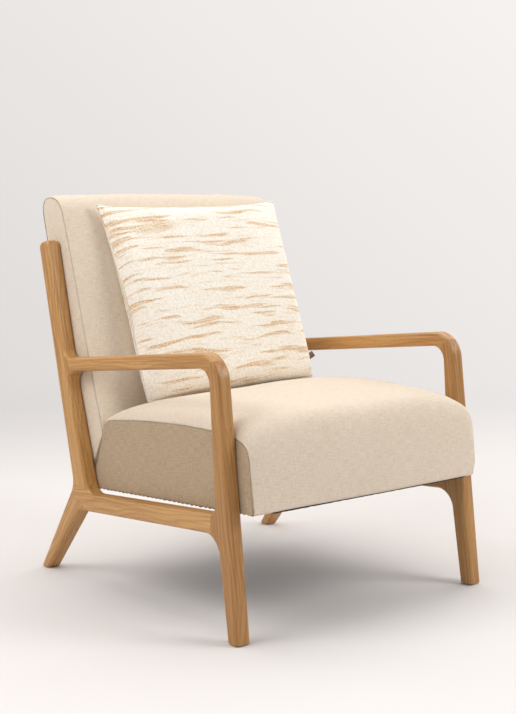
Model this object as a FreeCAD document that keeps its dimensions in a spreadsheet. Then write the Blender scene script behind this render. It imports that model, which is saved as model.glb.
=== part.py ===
# Lounge armchair: two oak side frames carry an upholstered seat and back bolted to each other,
# with a loose cushion on the seat.
# Millimetres. +Z is up, the chair faces -Y.
# The origin is on the floor, under the middle of the outer box.
import FreeCAD, Part
import math
import os

import Sketcher

os.makedirs("parts", exist_ok=True)
doc = FreeCAD.newDocument("armchair")
V = FreeCAD.Vector

# driving dimensions
# name, value, what it is
DIMENSIONS = [
    ("frame_width", 680, "over the outer faces of the two side frames"),
    ("board_thickness", 34, "thickness of every side frame member, across the chair"),
    ("edge_round", 7, "radius worked along every edge of the side frames"),
    ("glide_height", 3, "foot glide under each leg"),
    ("front_foot_y", -386, "front face of the front leg at the floor"),
    ("front_leg_lean", 0.1195, "run back per unit of height of the front leg's front face"),
    ("front_leg_back_y", -355, "rear face of the front leg at the floor"),
    ("front_leg_back_lean", 0.165, "the same for its rear face, below the side rail"),
    ("front_leg_upper_y", -331, "rear face of the front leg above the rail, carried down to the floor"),
    ("front_leg_upper_lean", 0.070, "the same for its rear face, above the side rail"),
    ("arm_top_z", 518, "arm's upper face at the middle of the chair"),
    ("arm_depth", 31, "arm, measured upwards"),
    ("arm_slope", -0.112, "rise per unit towards the rear"),
    ("rail_bottom_z", 175.3, "side rail's lower face at the middle of the chair"),
    ("rail_depth", 39, "side rail, measured upwards"),
    ("rail_slope", -0.086, "rise per unit towards the rear"),
    ("post_back_y", 147, "rear face of the rear post, carried down to the floor"),
    ("post_lean", 0.268, "run back per unit of height of the rear post"),
    ("post_depth", 41, "rear post above the arm, measured along Y"),
    ("post_low_front_y", 77, "front face of the post below the arm, carried down to the floor"),
    ("post_low_lean", 0.335, "its run back per unit of height"),
    ("post_top_z", 743, "top of the rear post, at its middle"),
    ("post_top_y", 345, "where that height is taken"),
    ("rear_leg_back_y", 347.5, "rear face of the rear leg at the floor"),
    ("rear_leg_lean", -0.673, "run back per unit of height of its rear face"),
    ("rear_leg_front_y", 318.5, "front face of the rear leg at the floor"),
    ("rear_leg_front_lean", -0.865, "run back per unit of height of its front face"),
    ("arm_corner_radius", 57, "outside of the bend from arm to front leg"),
    ("arm_inner_radius", 32, "inside of the same bend"),
    ("arm_post_top_radius", 24, "hollow between arm and post, above"),
    ("arm_post_low_radius", 30, "hollow between arm and post, below"),
    ("rail_post_radius", 34, "hollow between side rail and post"),
    ("rail_leg_radius", 18, "hollow between side rail and front leg, above"),
    ("rail_leg_low_radius", 44, "hollow between side rail and front leg, below"),
    ("rear_leg_radius", 14, "hollow between side rail and rear leg"),
    ("post_bend_radius", 45, "bend from rear post to rear leg"),
    ("post_top_radius", 13, "rounded top corners of the post"),
    ("dowel_diameter", 8, "frame joint dowels"),
    ("dowel_length", 44, "frame joint dowels"),
    ("glide_diameter", 15, "foot glides"),
    ("body_width", 607, "seat and back, over their side panels"),
    ("cover_thickness", 1.5, "upholstery cloth with its lining"),
    ("seat_tilt", 4.1, "degrees, the seat runs down towards the rear"),
    ("seat_front_y", -387, "seat's lower front edge"),
    ("seat_front_z", 249, "height of that edge"),
    ("seat_depth", 571, "seat, along its underside"),
    ("seat_crease_depth", 509, "seat, along its underside up to its crease against the back"),
    ("seat_crease_height", 124, "height of that crease over the underside"),
    ("seat_top_depth", 526, "seat, along its upper face"),
    ("seat_height", 201, "seat at the crown of its dome, near the front"),
    ("seat_rear_height", 184, "seat at the crown, where it meets the back"),
    ("seat_side_height", 160, "seat at the corner over its side seams"),
    ("seat_side_roll", 14, "roll of the cover at that corner"),
    ("seat_shoulder_height", 183, "seat at the shoulder of its dome"),
    ("seat_shoulder_reach", 40, "that shoulder's distance from the side"),
    ("seat_shoulder_roll", 60, "roll of the cover at the shoulder"),
    ("seat_front_radius", 48, "roll of the cover over the front edge"),
    ("back_lean", 16, "degrees, of the back's rear face"),
    ("back_rear_y", 218.8, "foot of that face"),
    ("back_rear_z", 229, "height of the back's lower edge"),
    ("back_top_z", 852, "top of the back"),
    ("back_front_y", 130, "where the back's front face meets the seat"),
    ("back_front_z", 337, "height of that line"),
    ("back_front_lean", 19.8, "degrees, of the front face"),
    ("back_front_top_radius", 38, "roll over the top, front side"),
    ("back_rear_top_radius", 32, "roll over the top, rear side"),
    ("rail_board", 25, "thickness of the seat frame's boards"),
    ("rail_board_height", 55, "height of the seat frame's boards"),
    ("stile_width", 40, "back frame's uprights, across the chair"),
    ("stile_depth", 34, "back frame's boards, front to rear"),
    ("spring_wire", 3.6, "sinuous spring wire"),
    ("spring_count", 5, "sinuous springs, front to rear"),
    ("spring_width", 46, "over the bends of one spring"),
    ("bolt_diameter", 8, "shank of the connecting bolts"),
    ("bolt_head_diameter", 13, "socket head"),
    ("bolt_head_height", 8, "socket head"),
    ("insert_diameter", 12, "threaded insert in the side frame"),
    ("insert_length", 20, "threaded insert in the side frame"),
    ("washer_diameter", 22, "washer under a bolt head"),
    ("washer_thickness", 2, "washer under a bolt head"),
    ("spacer_diameter", 18, "tube spacer between the body and a side frame"),
    ("spacer_length", 14, "the same, across the gap and the padding"),
    ("unit_bolt_length", 95, "bolt from the seat's rear rail into the back"),
    ("unit_nut_length", 16, "barrel nut on that bolt"),
    ("cushion_size", 464, "loose cushion, along each edge"),
    ("cushion_depth", 118, "loose cushion at its middle"),
    ("cushion_rim", 7, "loose cushion at its seam"),
    ("cushion_lean", 23.6, "degrees, the cushion leans back"),
    ("cushion_turn", -6.5, "degrees, its right side comes forward"),
    ("cushion_roll", -1.9, "degrees, its left side sits lower"),
    ("cushion_centre_x", 12, "middle of the cushion"),
    ("cushion_centre_y", 157, "middle of the cushion"),
    ("cushion_centre_z", 623, "middle of the cushion"),
]

dims = doc.addObject("Spreadsheet::Sheet", "dims")
for row, (name, value, note) in enumerate(DIMENSIONS, start=1):
    dims.set("A%d" % row, name)
    dims.set("B%d" % row, str(value))
    dims.set("C%d" % row, note)
    dims.setAlias("B%d" % row, name)
doc.recompute()


def d(name):
    return float(getattr(dims, name))


half_width = d("frame_width") / 2
board = d("board_thickness")
inner_face = half_width - board
body_half = d("body_width") / 2
cloth = d("cover_thickness")
pieces = {}


# helpers
def keep(name, obj):
    """Give an object its own label and list it as a piece of the chair."""
    obj.Label = name
    pieces[name] = obj
    return obj


def bind(obj, **sizes):
    """Bind properties of an object to cells of the sheet."""
    for prop, formula in sizes.items():
        obj.setExpression(prop, formula)
    return obj


def origin_plane(body, role):
    return [f for f in body.Origin.OriginFeatures if f.Role == role][0]


def crossing(steep, flat):
    """Where y = a + b z meets z = c + e y."""
    a, b = steep
    c, e = flat
    z = (c + e * a) / (1 - e * b)
    return a + b * z, z


def steep_crossing(one, two):
    """Where y = a + b z meets y = c + e z."""
    z = (two[0] - one[0]) / (one[1] - two[1])
    return one[0] + one[1] * z, z


def rounded_loop(corners):
    """Straight edges joined by tangent arcs, from corners given as (across, up, radius)."""
    count = len(corners)
    arcs = []
    for i, (x, y, radius) in enumerate(corners):
        here = V(x, y, 0)
        before = V(*corners[i - 1][:2], 0)
        after = V(*corners[(i + 1) % count][:2], 0)
        to_before = (before - here).normalize()
        to_after = (after - here).normalize()
        if radius <= 0:
            arcs.append((here, here, None))
            continue
        half_angle = to_before.getAngle(to_after) / 2
        reach = radius / math.tan(half_angle)
        start = here + to_before * reach
        end = here + to_after * reach
        middle_way = (to_before + to_after).normalize()
        centre = here + middle_way * (radius / math.sin(half_angle))
        middle = centre - middle_way * radius
        arcs.append((start, end, Part.Arc(start, middle, end)))
    edges = []
    for i, (start, end, arc) in enumerate(arcs):
        if arc:
            edges.append(arc)
        next_start = arcs[(i + 1) % count][0]
        if (next_start - end).Length > 1e-6:
            edges.append(Part.LineSegment(end, next_start))
    return edges


def padded_body(name, role, loops, length):
    """A body with one sketch of closed loops on an origin plane, padded both ways from it."""
    body = doc.addObject("PartDesign::Body", name)
    sketch = body.newObject("Sketcher::SketchObject", name + "_outline")
    sketch.AttachmentSupport = (origin_plane(body, role), [""])
    sketch.MapMode = "FlatFace"
    for loop in loops:
        for edge in rounded_loop(loop):
            index = sketch.addGeometry(edge, False)
            sketch.addConstraint(Sketcher.Constraint("Block", index))
    pad = body.newObject("PartDesign::Pad", name + "_pad")
    pad.Profile = sketch
    pad.SideType = "Symmetric"
    pad.setExpression("Length", length)
    body.Tip = pad
    doc.recompute()
    return body, pad


def box(name, low, high):
    """A plain block between two corners."""
    block = doc.addObject("Part::Box", name)
    block.Length, block.Width, block.Height = [b - a for a, b in zip(low, high)]
    block.Placement.Base = V(*low)
    return block


def rod(name, start, direction, radius, length):
    """A bar from a point along a direction; radius and length are sheet formulas."""
    bar = doc.addObject("Part::Cylinder", name)
    bind(bar, Radius=radius, Height=length)
    bar.Placement = FreeCAD.Placement(V(*start), FreeCAD.Rotation(V(0, 0, 1), V(*direction)))
    return bar


def group(name, members):
    compound = doc.addObject("Part::Compound", name)
    compound.Links = members
    return compound


def cut(name, base, tool):
    result = doc.addObject("Part::Cut", name)
    result.Base = base
    result.Tool = tool
    return result


def common(name, base, tool):
    result = doc.addObject("Part::Common", name)
    result.Base = base
    result.Tool = tool
    return result


def prism(name, corners, low_x, high_x):
    """A straight-sided block with the given (y, z) corners, from low_x to high_x."""
    polygon = doc.addObject("Part::Polygon", name + "_edge")
    polygon.Nodes = [V(low_x, y, z) for y, z in corners]
    polygon.Close = True
    block = doc.addObject("Part::Extrusion", name)
    block.Base = polygon
    block.Dir = V(1, 0, 0)
    block.LengthFwd = high_x - low_x
    block.Solid = True
    return block


def inset(corners, distance):
    """The same loop moved inwards; corners run anticlockwise, as (across, up, radius)."""
    moved = []
    count = len(corners)
    lines = []
    for i in range(count):
        start = V(*corners[i][:2], 0)
        end = V(*corners[(i + 1) % count][:2], 0)
        along = (end - start).normalize()
        inward = V(-along.y, along.x, 0)
        lines.append((start + inward * distance, along))
    for i, (x, y, radius) in enumerate(corners):
        p, a = lines[i - 1]
        q, b = lines[i]
        turn = a.x * b.y - a.y * b.x
        step = ((q.x - p.x) * b.y - (q.y - p.y) * b.x) / turn
        corner = p + a * step
        smaller = radius - distance if turn > 0 else radius + distance
        moved.append((corner.x, corner.y, max(smaller, 0) if radius else 0))
    return moved


# side frame outline
front_leg_front = (d("front_foot_y"), d("front_leg_lean"))
front_leg_back = (d("front_leg_back_y"), d("front_leg_back_lean"))
front_leg_upper = (d("front_leg_upper_y"), d("front_leg_upper_lean"))
post_back = (d("post_back_y"), d("post_lean"))
post_front = (d("post_back_y") - d("post_depth"), d("post_lean"))
post_low_front = (d("post_low_front_y"), d("post_low_lean"))
rear_leg_back = (d("rear_leg_back_y"), d("rear_leg_lean"))
rear_leg_front = (d("rear_leg_front_y"), d("rear_leg_front_lean"))
arm_top = (d("arm_top_z"), d("arm_slope"))
arm_bottom = (d("arm_top_z") - d("arm_depth"), d("arm_slope"))
rail_bottom = (d("rail_bottom_z"), d("rail_slope"))
rail_top = (d("rail_bottom_z") + d("rail_depth"), d("rail_slope"))
glide = d("glide_height")
foot_line = (glide, 0)
post_end = (d("post_top_z") + d("post_lean") * d("post_top_y"), -d("post_lean"))

outer_loop = [
    (*crossing(front_leg_back, foot_line), 0),
    (*crossing(front_leg_back, rail_bottom), d("rail_leg_low_radius")),
    (*crossing(rear_leg_front, rail_bottom), d("rear_leg_radius")),
    (*crossing(rear_leg_front, foot_line), 0),
    (*crossing(rear_leg_back, foot_line), 0),
    (*steep_crossing(rear_leg_back, post_back), d("post_bend_radius")),
    (*crossing(post_back, post_end), d("post_top_radius")),
    (*crossing(post_front, post_end), d("post_top_radius")),
    (*crossing(post_front, arm_top), d("arm_post_top_radius")),
    (*crossing(front_leg_front, arm_top), d("arm_corner_radius")),
    (*crossing(front_leg_front, foot_line), 0),
]
window_loop = [
    (*crossing(front_leg_upper, rail_top), d("rail_leg_radius")),
    (*crossing(post_low_front, rail_top), d("rail_post_radius")),
    (*crossing(post_low_front, arm_bottom), d("arm_post_low_radius")),
    (*crossing(front_leg_upper, arm_bottom), d("arm_inner_radius")),
]


def side_frame_blank(side, sign):
    """The whole side frame as one shape, with every long edge rounded, before it is parted at its joints."""
    loops = [outer_loop, window_loop]
    body, pad = padded_body("frame_blank_" + side, "YZ_Plane", loops, "dims.board_thickness")
    rims = []
    for number, edge in enumerate(pad.Shape.Edges, start=1):
        on_face = all(abs(abs(v.Point.x) - board / 2) < 1e-4 for v in edge.Vertexes)
        crosses = abs(edge.Vertexes[0].Point.x - edge.Vertexes[-1].Point.x) > 1
        at_foot = max(v.Point.z for v in edge.Vertexes) < glide + 0.1
        if on_face and not crosses and not at_foot:
            rims.append("Edge%d" % number)
    fillet = body.newObject("PartDesign::Fillet", "frame_edges_" + side)
    fillet.Base = (pad, rims)
    fillet.setExpression("Radius", "dims.edge_round")
    body.Tip = fillet
    body.Placement.Base = V(sign * (half_width - board / 2), 0, 0)
    doc.recompute()
    return body


# Glue lines, as points (y, z) across the frame
post_foot_z = 213
post_shoulder = 12
rail_nose_y = -303
leg_seat = [(128, 160), (216, 193)]
bend_inner = crossing(front_leg_upper, arm_bottom)
bend_outer = crossing(front_leg_front, arm_top)
reach = 3
bend_in_point = tuple(b - (a - b) * reach for a, b in zip(bend_outer, bend_inner))
bend_out_point = tuple(a + (a - b) * reach for a, b in zip(bend_outer, bend_inner))
arm_end_y = d("post_back_y") - d("post_depth") - post_shoulder
arm_end_low = (arm_end_y + d("post_lean") * 400, 400)
arm_end_high = (arm_end_y + d("post_lean") * 600, 600)

REGIONS = {
    "arm": [bend_in_point, arm_end_low, arm_end_high, (arm_end_high[0], 900), bend_out_point],
    "front_leg": [(-420, 0), (rail_nose_y, 0), (rail_nose_y, 330), bend_in_point, bend_out_point,
                  (-420, 700)],
    "side_rail": [(rail_nose_y, 100), (0, 100), leg_seat[0], leg_seat[1], (260, post_foot_z),
                  (100, post_foot_z), (100, 300), (rail_nose_y, 300)],
    "rear_leg": [(60, 0), (380, 0), (380, 150), leg_seat[1], leg_seat[0], (60, 150)],
    "rear_post": [(100, post_foot_z), (260, post_foot_z), (420, 500), (420, 800), (200, 800),
                  arm_end_high, arm_end_low, (100, 400)],
}

# Dowel pairs: where the glue line is crossed, the way the dowels run, half their spacing, their share of the
# full length, and whether the two stand side by side across the board
rail_middle = (d("rail_bottom_z") + d("rail_depth") / 2, d("rail_slope"))
arm_middle = (d("arm_top_z") - d("arm_depth") / 2, d("arm_slope"))
bend_across = V(bend_outer[0] - bend_inner[0], bend_outer[1] - bend_inner[1], 0).normalize()
DOWELS = {
    "rear_leg": (193, 184, (-0.61, 0.79), 9, 0.8, True),
    "post": (178, post_foot_z, (0.26, 0.97), 11, 1, False),
    "rail": (rail_nose_y, rail_middle[0] + rail_middle[1] * rail_nose_y, (1, d("rail_slope")), 9, 0.8, False),
    "arm": (*crossing((arm_end_y, d("post_lean")), arm_middle), (1, d("arm_slope")), 7, 1, False),
    "bend": (bend_inner[0] + 3 * bend_across.x, bend_inner[1] + 3 * bend_across.y,
             (bend_across.y, -bend_across.x), 8, 0.6, False),
}


def joint_dowels(side, sign):
    """Two dowels square across each glue line of one side frame."""
    dowels = []
    for joint, (y, z, run, spread, share, side_by_side) in DOWELS.items():
        run = V(0, *run).normalize()
        across = V(1, 0, 0) if side_by_side else V(0, -run.z, run.y)
        back_off = run * (d("dowel_length") * share / 2)
        for which, step in (("a", -spread), ("b", spread)):
            start = V(sign * (half_width - board / 2), y, z) + across * step - back_off
            name = "dowel_%s_%s_%s" % (side, joint, which)
            dowels.append(rod(name, start, run, "dims.dowel_diameter / 2", "dims.dowel_length * %s" % share))
    return group("dowels_" + side, dowels)


# seat and back envelopes
seat_tilt = FreeCAD.Rotation(V(1, 0, 0), -d("seat_tilt"))
back_tilt = FreeCAD.Rotation(V(1, 0, 0), -d("back_lean"))
seat_place = FreeCAD.Placement(V(0, d("seat_front_y"), d("seat_front_z")), seat_tilt)
back_place = FreeCAD.Placement(V(0, d("back_rear_y"), d("back_rear_z")), back_tilt)

# Seat outline from the side, along its own underside and upwards from it
seat_loop = [
    (0, 0, 0),
    (d("seat_depth"), 0, 0),
    (d("seat_crease_depth"), d("seat_crease_height"), 0),
    (d("seat_top_depth"), d("seat_rear_height"), 8),
    (9, d("seat_height"), d("seat_front_radius")),
]
# Seat outline from the front: straight sides, a soft corner at each side seam, a shoulder, and a low roof
shoulder_x = body_half - d("seat_shoulder_reach")
across_loop = [
    (-body_half, -30, 0),
    (body_half, -30, 0),
    (body_half, d("seat_side_height"), d("seat_side_roll")),
    (shoulder_x, d("seat_shoulder_height"), d("seat_shoulder_roll")),
    (0, d("seat_height") + 2, 1500),
    (-shoulder_x, d("seat_shoulder_height"), d("seat_shoulder_roll")),
    (-body_half, d("seat_side_height"), d("seat_side_roll")),
]

# Back outline from the side, in the chair's own axes
front_lean = math.tan(math.radians(d("back_front_lean")))
rear_lean = math.tan(math.radians(d("back_lean")))
back_top = d("back_top_z")
crease = (d("back_front_y") + 1, d("back_front_z"))
wedge_foot_y = 183
back_loop = [
    (wedge_foot_y, d("back_rear_z"), 4),
    (d("back_rear_y"), d("back_rear_z"), 6),
    (d("back_rear_y") + rear_lean * (back_top - d("back_rear_z")), back_top, d("back_rear_top_radius")),
    (crease[0] + front_lean * (back_top - crease[1]), back_top, d("back_front_top_radius")),
    (*crease, 0),
]


def seat_block(name, side_corners, front_corners, width):
    """The seat's shape in its own axes: its side outline, crowned across the chair."""
    side_view, pad = padded_body(name + "_side_view", "YZ_Plane", [side_corners], width)
    front_view, pad = padded_body(name + "_front_view", "XZ_Plane", [front_corners], "3 * dims.seat_depth")
    return common(name, side_view, front_view)


seat_outer = seat_block("seat_outer", seat_loop, across_loop, "dims.body_width")
seat_inner_corners = inset(seat_loop, cloth)
seat_inner_corners[0] = (cloth, -4, 0)
seat_inner_corners[1] = (seat_inner_corners[1][0] + 2, -4, 0)
seat_inner = seat_block("seat_inner", seat_inner_corners, inset(across_loop, cloth),
                        "dims.body_width - 2 * dims.cover_thickness")
back_outer, pad = padded_body("back_outer", "YZ_Plane", [back_loop], "dims.body_width")
back_inner, pad = padded_body("back_inner", "YZ_Plane", [inset(back_loop, cloth)],
                              "dims.body_width - 2 * dims.cover_thickness")


# bolts that join body and side frames
# Where each bolt crosses a side frame, as (y, z): front leg, foot of the post, head of the post
SIDE_BOLTS = {"front": (-331, 288), "low": (199, 272), "high": (306, 650)}
FRAME_BOARD = {"front": "rail_board", "low": "stile_width", "high": "stile_width"}
body_side = inner_face - d("spacer_length")
bolts, washers, inserts, spacers = [], [], [], []
shank = d("bolt_diameter") / 2


def tube(name, start, direction, outer, inner, length):
    """A ring or tube; outer and inner radii and length are sheet formulas."""
    solid = rod(name + "_outside", start, direction, outer, length)
    hole = rod(name + "_hole", start, direction, inner, length)
    return cut(name, solid, hole)


def hex_socket_bolt(name, start, direction, length):
    """A socket-head bolt whose head bears at start, with its shank along direction."""
    way = V(*direction).normalize()
    shaft = rod(name + "_shank", start, way, "dims.bolt_diameter / 2", length)
    head_at = V(*start) - way * d("bolt_head_height")
    head = rod(name + "_head", head_at, way, "dims.bolt_head_diameter / 2", "dims.bolt_head_height")
    socket = doc.addObject("Part::Prism", name + "_socket")
    socket.Polygon = 6
    bind(socket, Circumradius="dims.bolt_diameter * 0.43", Height="dims.bolt_head_height * 0.6")
    socket.Placement = FreeCAD.Placement(head_at, FreeCAD.Rotation(V(0, 0, 1), way))
    whole = doc.addObject("Part::Fuse", name + "_body")
    whole.Base = head
    whole.Tool = shaft
    return cut(name, whole, socket)


for side, sign in (("left", -1), ("right", 1)):
    for spot, (y, z) in SIDE_BOLTS.items():
        tag = "%s_%s" % (side, spot)
        out = (sign, 0, 0)
        thickness = d(FRAME_BOARD[spot])
        head_x = body_side - thickness - d("washer_thickness")
        board_cell = "dims.%s" % FRAME_BOARD[spot]
        grip = board_cell + " + dims.washer_thickness + dims.spacer_length + dims.insert_length - 2"
        bolts.append(hex_socket_bolt("bolt_" + tag, (sign * head_x, y, z), out, grip))
        washers.append(tube("washer_" + tag, (sign * head_x, y, z), out, "dims.washer_diameter / 2",
                            "dims.bolt_diameter / 2", "dims.washer_thickness"))
        spacers.append(tube("spacer_" + tag, (sign * body_side, y, z), out, "dims.spacer_diameter / 2",
                            "dims.bolt_diameter / 2", "dims.spacer_length"))
        inserts.append(tube("insert_" + tag, (sign * inner_face, y, z), out, "dims.insert_diameter / 2",
                            "dims.bolt_diameter / 2", "dims.insert_length"))

# Two bolts run rearwards through the seat's rear rail into the back's bottom rail
seat_rear_rail_u = 511
unit_bolt_w = 43
back_way = seat_place.Rotation.multVec(V(0, 1, 0))
unit_bolts, unit_nuts = [], []
for side, x in (("left", -150), ("right", 150)):
    start = seat_place.multVec(V(x, seat_rear_rail_u - d("washer_thickness"), unit_bolt_w))
    unit_bolts.append(hex_socket_bolt("unit_bolt_" + side, start, back_way, "dims.unit_bolt_length"))
    washers.append(tube("unit_washer_" + side, start, back_way, "dims.washer_diameter / 2",
                        "dims.bolt_diameter / 2", "dims.washer_thickness"))
    nut_at = start + back_way * 73
    unit_nuts.append(tube("unit_nut_" + side, nut_at, back_way, "dims.insert_diameter / 2",
                          "dims.bolt_diameter / 2", "dims.unit_nut_length"))

keep("side_bolts", group("side_bolts_group", bolts))
keep("bolt_washers", group("bolt_washers_group", washers))
keep("spacer_tubes", group("spacer_tubes_group", spacers))
keep("threaded_inserts", group("threaded_inserts_group", inserts))
keep("unit_bolts", group("unit_bolts_group", unit_bolts))
keep("unit_nuts", group("unit_nuts_group", unit_nuts))
hardware = group("hardware", bolts + washers + spacers + inserts + unit_bolts + unit_nuts)
bolt_set = group("bolt_set", bolts + washers + inserts)


# side frames, parted at their glue lines
glides = []
for side, sign in (("left", -1), ("right", 1)):
    blank = side_frame_blank(side, sign)
    dowels = joint_dowels(side, sign)
    keep("frame_dowels_" + side, dowels)
    for member, corners in REGIONS.items():
        region = prism("%s_region_%s" % (member, side), corners, -half_width - 20, half_width + 20)
        timber = common("%s_timber_%s" % (member, side), blank, region)
        drilled = cut("%s_drilled_%s" % (member, side), timber, dowels)
        if member in ("front_leg", "rear_post"):
            drilled = cut("%s_bored_%s" % (member, side), drilled, bolt_set)
        keep("%s_%s" % (member, side), drilled)
    middle_x = sign * (half_width - board / 2)
    front_foot_middle = (front_leg_front[0] + front_leg_back[0]) / 2
    rear_foot_middle = (rear_leg_front[0] + rear_leg_back[0]) / 2 - 1
    for which, y in (("front", front_foot_middle), ("rear", rear_foot_middle)):
        glides.append(rod("glide_%s_%s" % (side, which), (middle_x, y, 0), (0, 0, 1),
                          "dims.glide_diameter / 2", "dims.glide_height"))
keep("foot_glides", group("foot_glides_group", glides))


# seat: frame, springs, foam, cover
def seat_part(obj):
    """Set an object, built in the seat's own axes, at the seat's tilt."""
    obj.Placement = seat_place.multiply(obj.Placement)
    return obj


rail = d("rail_board")
rail_top_w = 2 + d("rail_board_height")
frame_front_u = 11.5
frame_rear_u = seat_rear_rail_u + rail
inside_u = frame_front_u + rail
inside_x = body_side - rail
foam_bottom_w = 71

boards = {
    "seat_frame_front": ((-body_side, frame_front_u, 2), (body_side, inside_u, rail_top_w)),
    "seat_frame_rear": ((-body_side, seat_rear_rail_u, 2), (body_side, frame_rear_u, rail_top_w)),
    "seat_frame_left": ((-body_side, inside_u, 2), (-inside_x, seat_rear_rail_u, rail_top_w)),
    "seat_frame_right": ((inside_x, inside_u, 2), (body_side, seat_rear_rail_u, rail_top_w)),
}
for name, (low, high) in boards.items():
    keep(name, cut(name + "_bored", seat_part(box(name + "_board", low, high)), hardware))

block_leg = 38
blocks = []
for sign_x in (-1, 1):
    for sign_u, u in ((1, inside_u), (-1, seat_rear_rail_u)):
        corner = doc.addObject("Part::Polygon", "corner_edge_%d_%d" % (sign_x, sign_u))
        x = sign_x * inside_x
        corner.Nodes = [V(x, u, 4), V(x - sign_x * block_leg, u, 4), V(x, u + sign_u * block_leg, 4)]
        corner.Close = True
        solid = doc.addObject("Part::Extrusion", "corner_block_%d_%d" % (sign_x, sign_u))
        solid.Base = corner
        solid.Dir = V(0, 0, 1)
        solid.LengthFwd = 24
        solid.Solid = True
        blocks.append(seat_part(solid))
keep("seat_corner_blocks", group("seat_corner_blocks_group", blocks))


def sinuous_spring(first_u, last_u, w):
    """One zigzag spring lying flat: straight runs across, joined by half-turns."""
    wire_radius = d("spring_wire") / 2
    runs = 24
    pitch = (last_u - first_u) / runs
    bend = pitch / 2
    straight = (d("spring_width") - d("spring_wire")) / 2 - bend
    edges = []
    for i in range(runs + 1):
        u = first_u + i * pitch
        toward = 1 if i % 2 == 0 else -1
        edges.append(Part.LineSegment(V(-toward * straight, u, w), V(toward * straight, u, w)).toShape())
        if i < runs:
            tip = V(toward * (straight + bend), u + bend, w)
            turn_start = V(toward * straight, u, w)
            turn_end = V(toward * straight, u + pitch, w)
            edges.append(Part.Arc(turn_start, tip, turn_end).toShape())
    path = Part.Wire(edges)
    ring = Part.Wire(Part.makeCircle(wire_radius, V(-straight, first_u, w), V(1, 0, 0)))
    return path.makePipeShell([ring], True, True)


spring_w = rail_top_w + d("spring_wire") / 2
spring_first_u = frame_front_u + 9
spring_last_u = frame_rear_u - 9
one_spring = sinuous_spring(spring_first_u, spring_last_u, spring_w)
count = int(d("spring_count"))
spring_x = [body_side * 1.55 * ((i + 0.5) / count - 0.5) for i in range(count)]
springs = doc.addObject("Part::Feature", "seat_springs_wire")
springs.Shape = Part.makeCompound([one_spring.translated(V(x, 0, 0)) for x in spring_x])
springs.Placement = seat_place
keep("seat_springs", springs)

clips = []
for number, x in enumerate(spring_x):
    for end, u in (("front", spring_first_u), ("rear", spring_last_u)):
        name = "clip_%s_%d" % (end, number)
        strap = box(name + "_strap", (x - 10, u - 5, rail_top_w), (x + 10, u + 5, spring_w + 3.2))
        slot = rod(name + "_slot", (x - 11, u, spring_w), (1, 0, 0), "dims.spring_wire / 2 + 0.05", "22")
        clips.append(seat_part(cut(name, strap, slot)))
keep("spring_clips", group("spring_clips_group", clips))


def inside_seat(name, low, high):
    """The part of the seat's inside that lies between two corners, with the bolts' passages cut."""
    block = box(name + "_block", low, high)
    filled = common(name + "_shape", seat_inner, block)
    return keep(name, cut(name + "_bored", seat_part(filled), hardware))


inside_seat("seat_foam", (-400, -10, foam_bottom_w), (400, 700, 300))
inside_seat("seat_wadding_front", (-400, -10, 2), (400, frame_front_u, foam_bottom_w))
inside_seat("seat_wadding_rear", (-400, frame_rear_u, 2), (400, 700, foam_bottom_w))
inside_seat("seat_wadding_left", (-400, frame_front_u, 2), (-body_side, frame_rear_u, foam_bottom_w))
inside_seat("seat_wadding_right", (body_side, frame_front_u, 2), (400, frame_rear_u, foam_bottom_w))
spring_pad = box("spring_pad_sheet", (-body_side + 4, frame_front_u + 2, foam_bottom_w - 4),
                 (body_side - 4, frame_rear_u - 6, foam_bottom_w))
keep("seat_spring_pad", seat_part(spring_pad))
dust_sheet = box("dust_sheet", (-body_side - 4, 6, 1), (body_side + 4, frame_rear_u + 14, 1.8))
keep("seat_dust_cover", seat_part(dust_sheet))

seat_shell = cut("seat_shell", seat_outer, seat_inner)
panel_x = body_half - cloth
seat_top_zone = box("seat_top_zone", (-panel_x, -50, -50), (panel_x, 700, 300))
seat_top_cloth = seat_part(common("seat_top_cloth", seat_shell, seat_top_zone))
keep("seat_cover_top", cut("seat_cover_top_bored", seat_top_cloth, hardware))
for side, low_x, high_x in (("left", -400, -panel_x), ("right", panel_x, 400)):
    zone = box("seat_%s_zone" % side, (low_x, -50, -50), (high_x, 700, 300))
    panel = seat_part(common("seat_%s_cloth" % side, seat_shell, zone))
    keep("seat_cover_" + side, cut("seat_cover_%s_bored" % side, panel, hardware))


# back: frame, webbing, foam, cover
def back_part(obj):
    """Set an object, built in the back frame's own axes, at the back's lean."""
    obj.Placement = back_place.multiply(obj.Placement)
    return obj


stile_inside = body_side - d("stile_width")
frame_rear_v = -12
frame_front_v = frame_rear_v - d("stile_depth")
stile_top = 588
stile_bottom = 7
rail_high = 50
rail_low_z = stile_top - rail_high
back_boards = {
    "back_frame_left": ((-body_side, frame_front_v, stile_bottom), (-stile_inside, frame_rear_v, stile_top)),
    "back_frame_right": ((stile_inside, frame_front_v, stile_bottom), (body_side, frame_rear_v, stile_top)),
    "back_frame_top": ((-stile_inside, frame_front_v, rail_low_z), (stile_inside, frame_rear_v, stile_top)),
    "back_frame_bottom": ((-stile_inside, frame_front_v, stile_bottom),
                          (stile_inside, frame_rear_v, stile_bottom + rail_high)),
}
for name, (low, high) in back_boards.items():
    keep(name, cut(name + "_bored", back_part(box(name + "_board", low, high)), hardware))

strap_width = 50
strap_thickness = 1.6
straps = []
for number in range(4):
    x = (number - 1.5) * 110
    low = (x - strap_width / 2, frame_front_v - 2 * strap_thickness, stile_bottom + 30)
    high = (x + strap_width / 2, frame_front_v - strap_thickness, stile_top - 5)
    straps.append(back_part(box("strap_up_%d" % number, low, high)))
for number in range(3):
    z = stile_bottom + 150 + number * 130
    low = (-body_side + 5, frame_front_v - strap_thickness, z)
    high = (body_side - 5, frame_front_v, z + strap_width)
    straps.append(back_part(box("strap_across_%d" % number, low, high)))
keep("back_webbing", group("back_webbing_group", straps))

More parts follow.
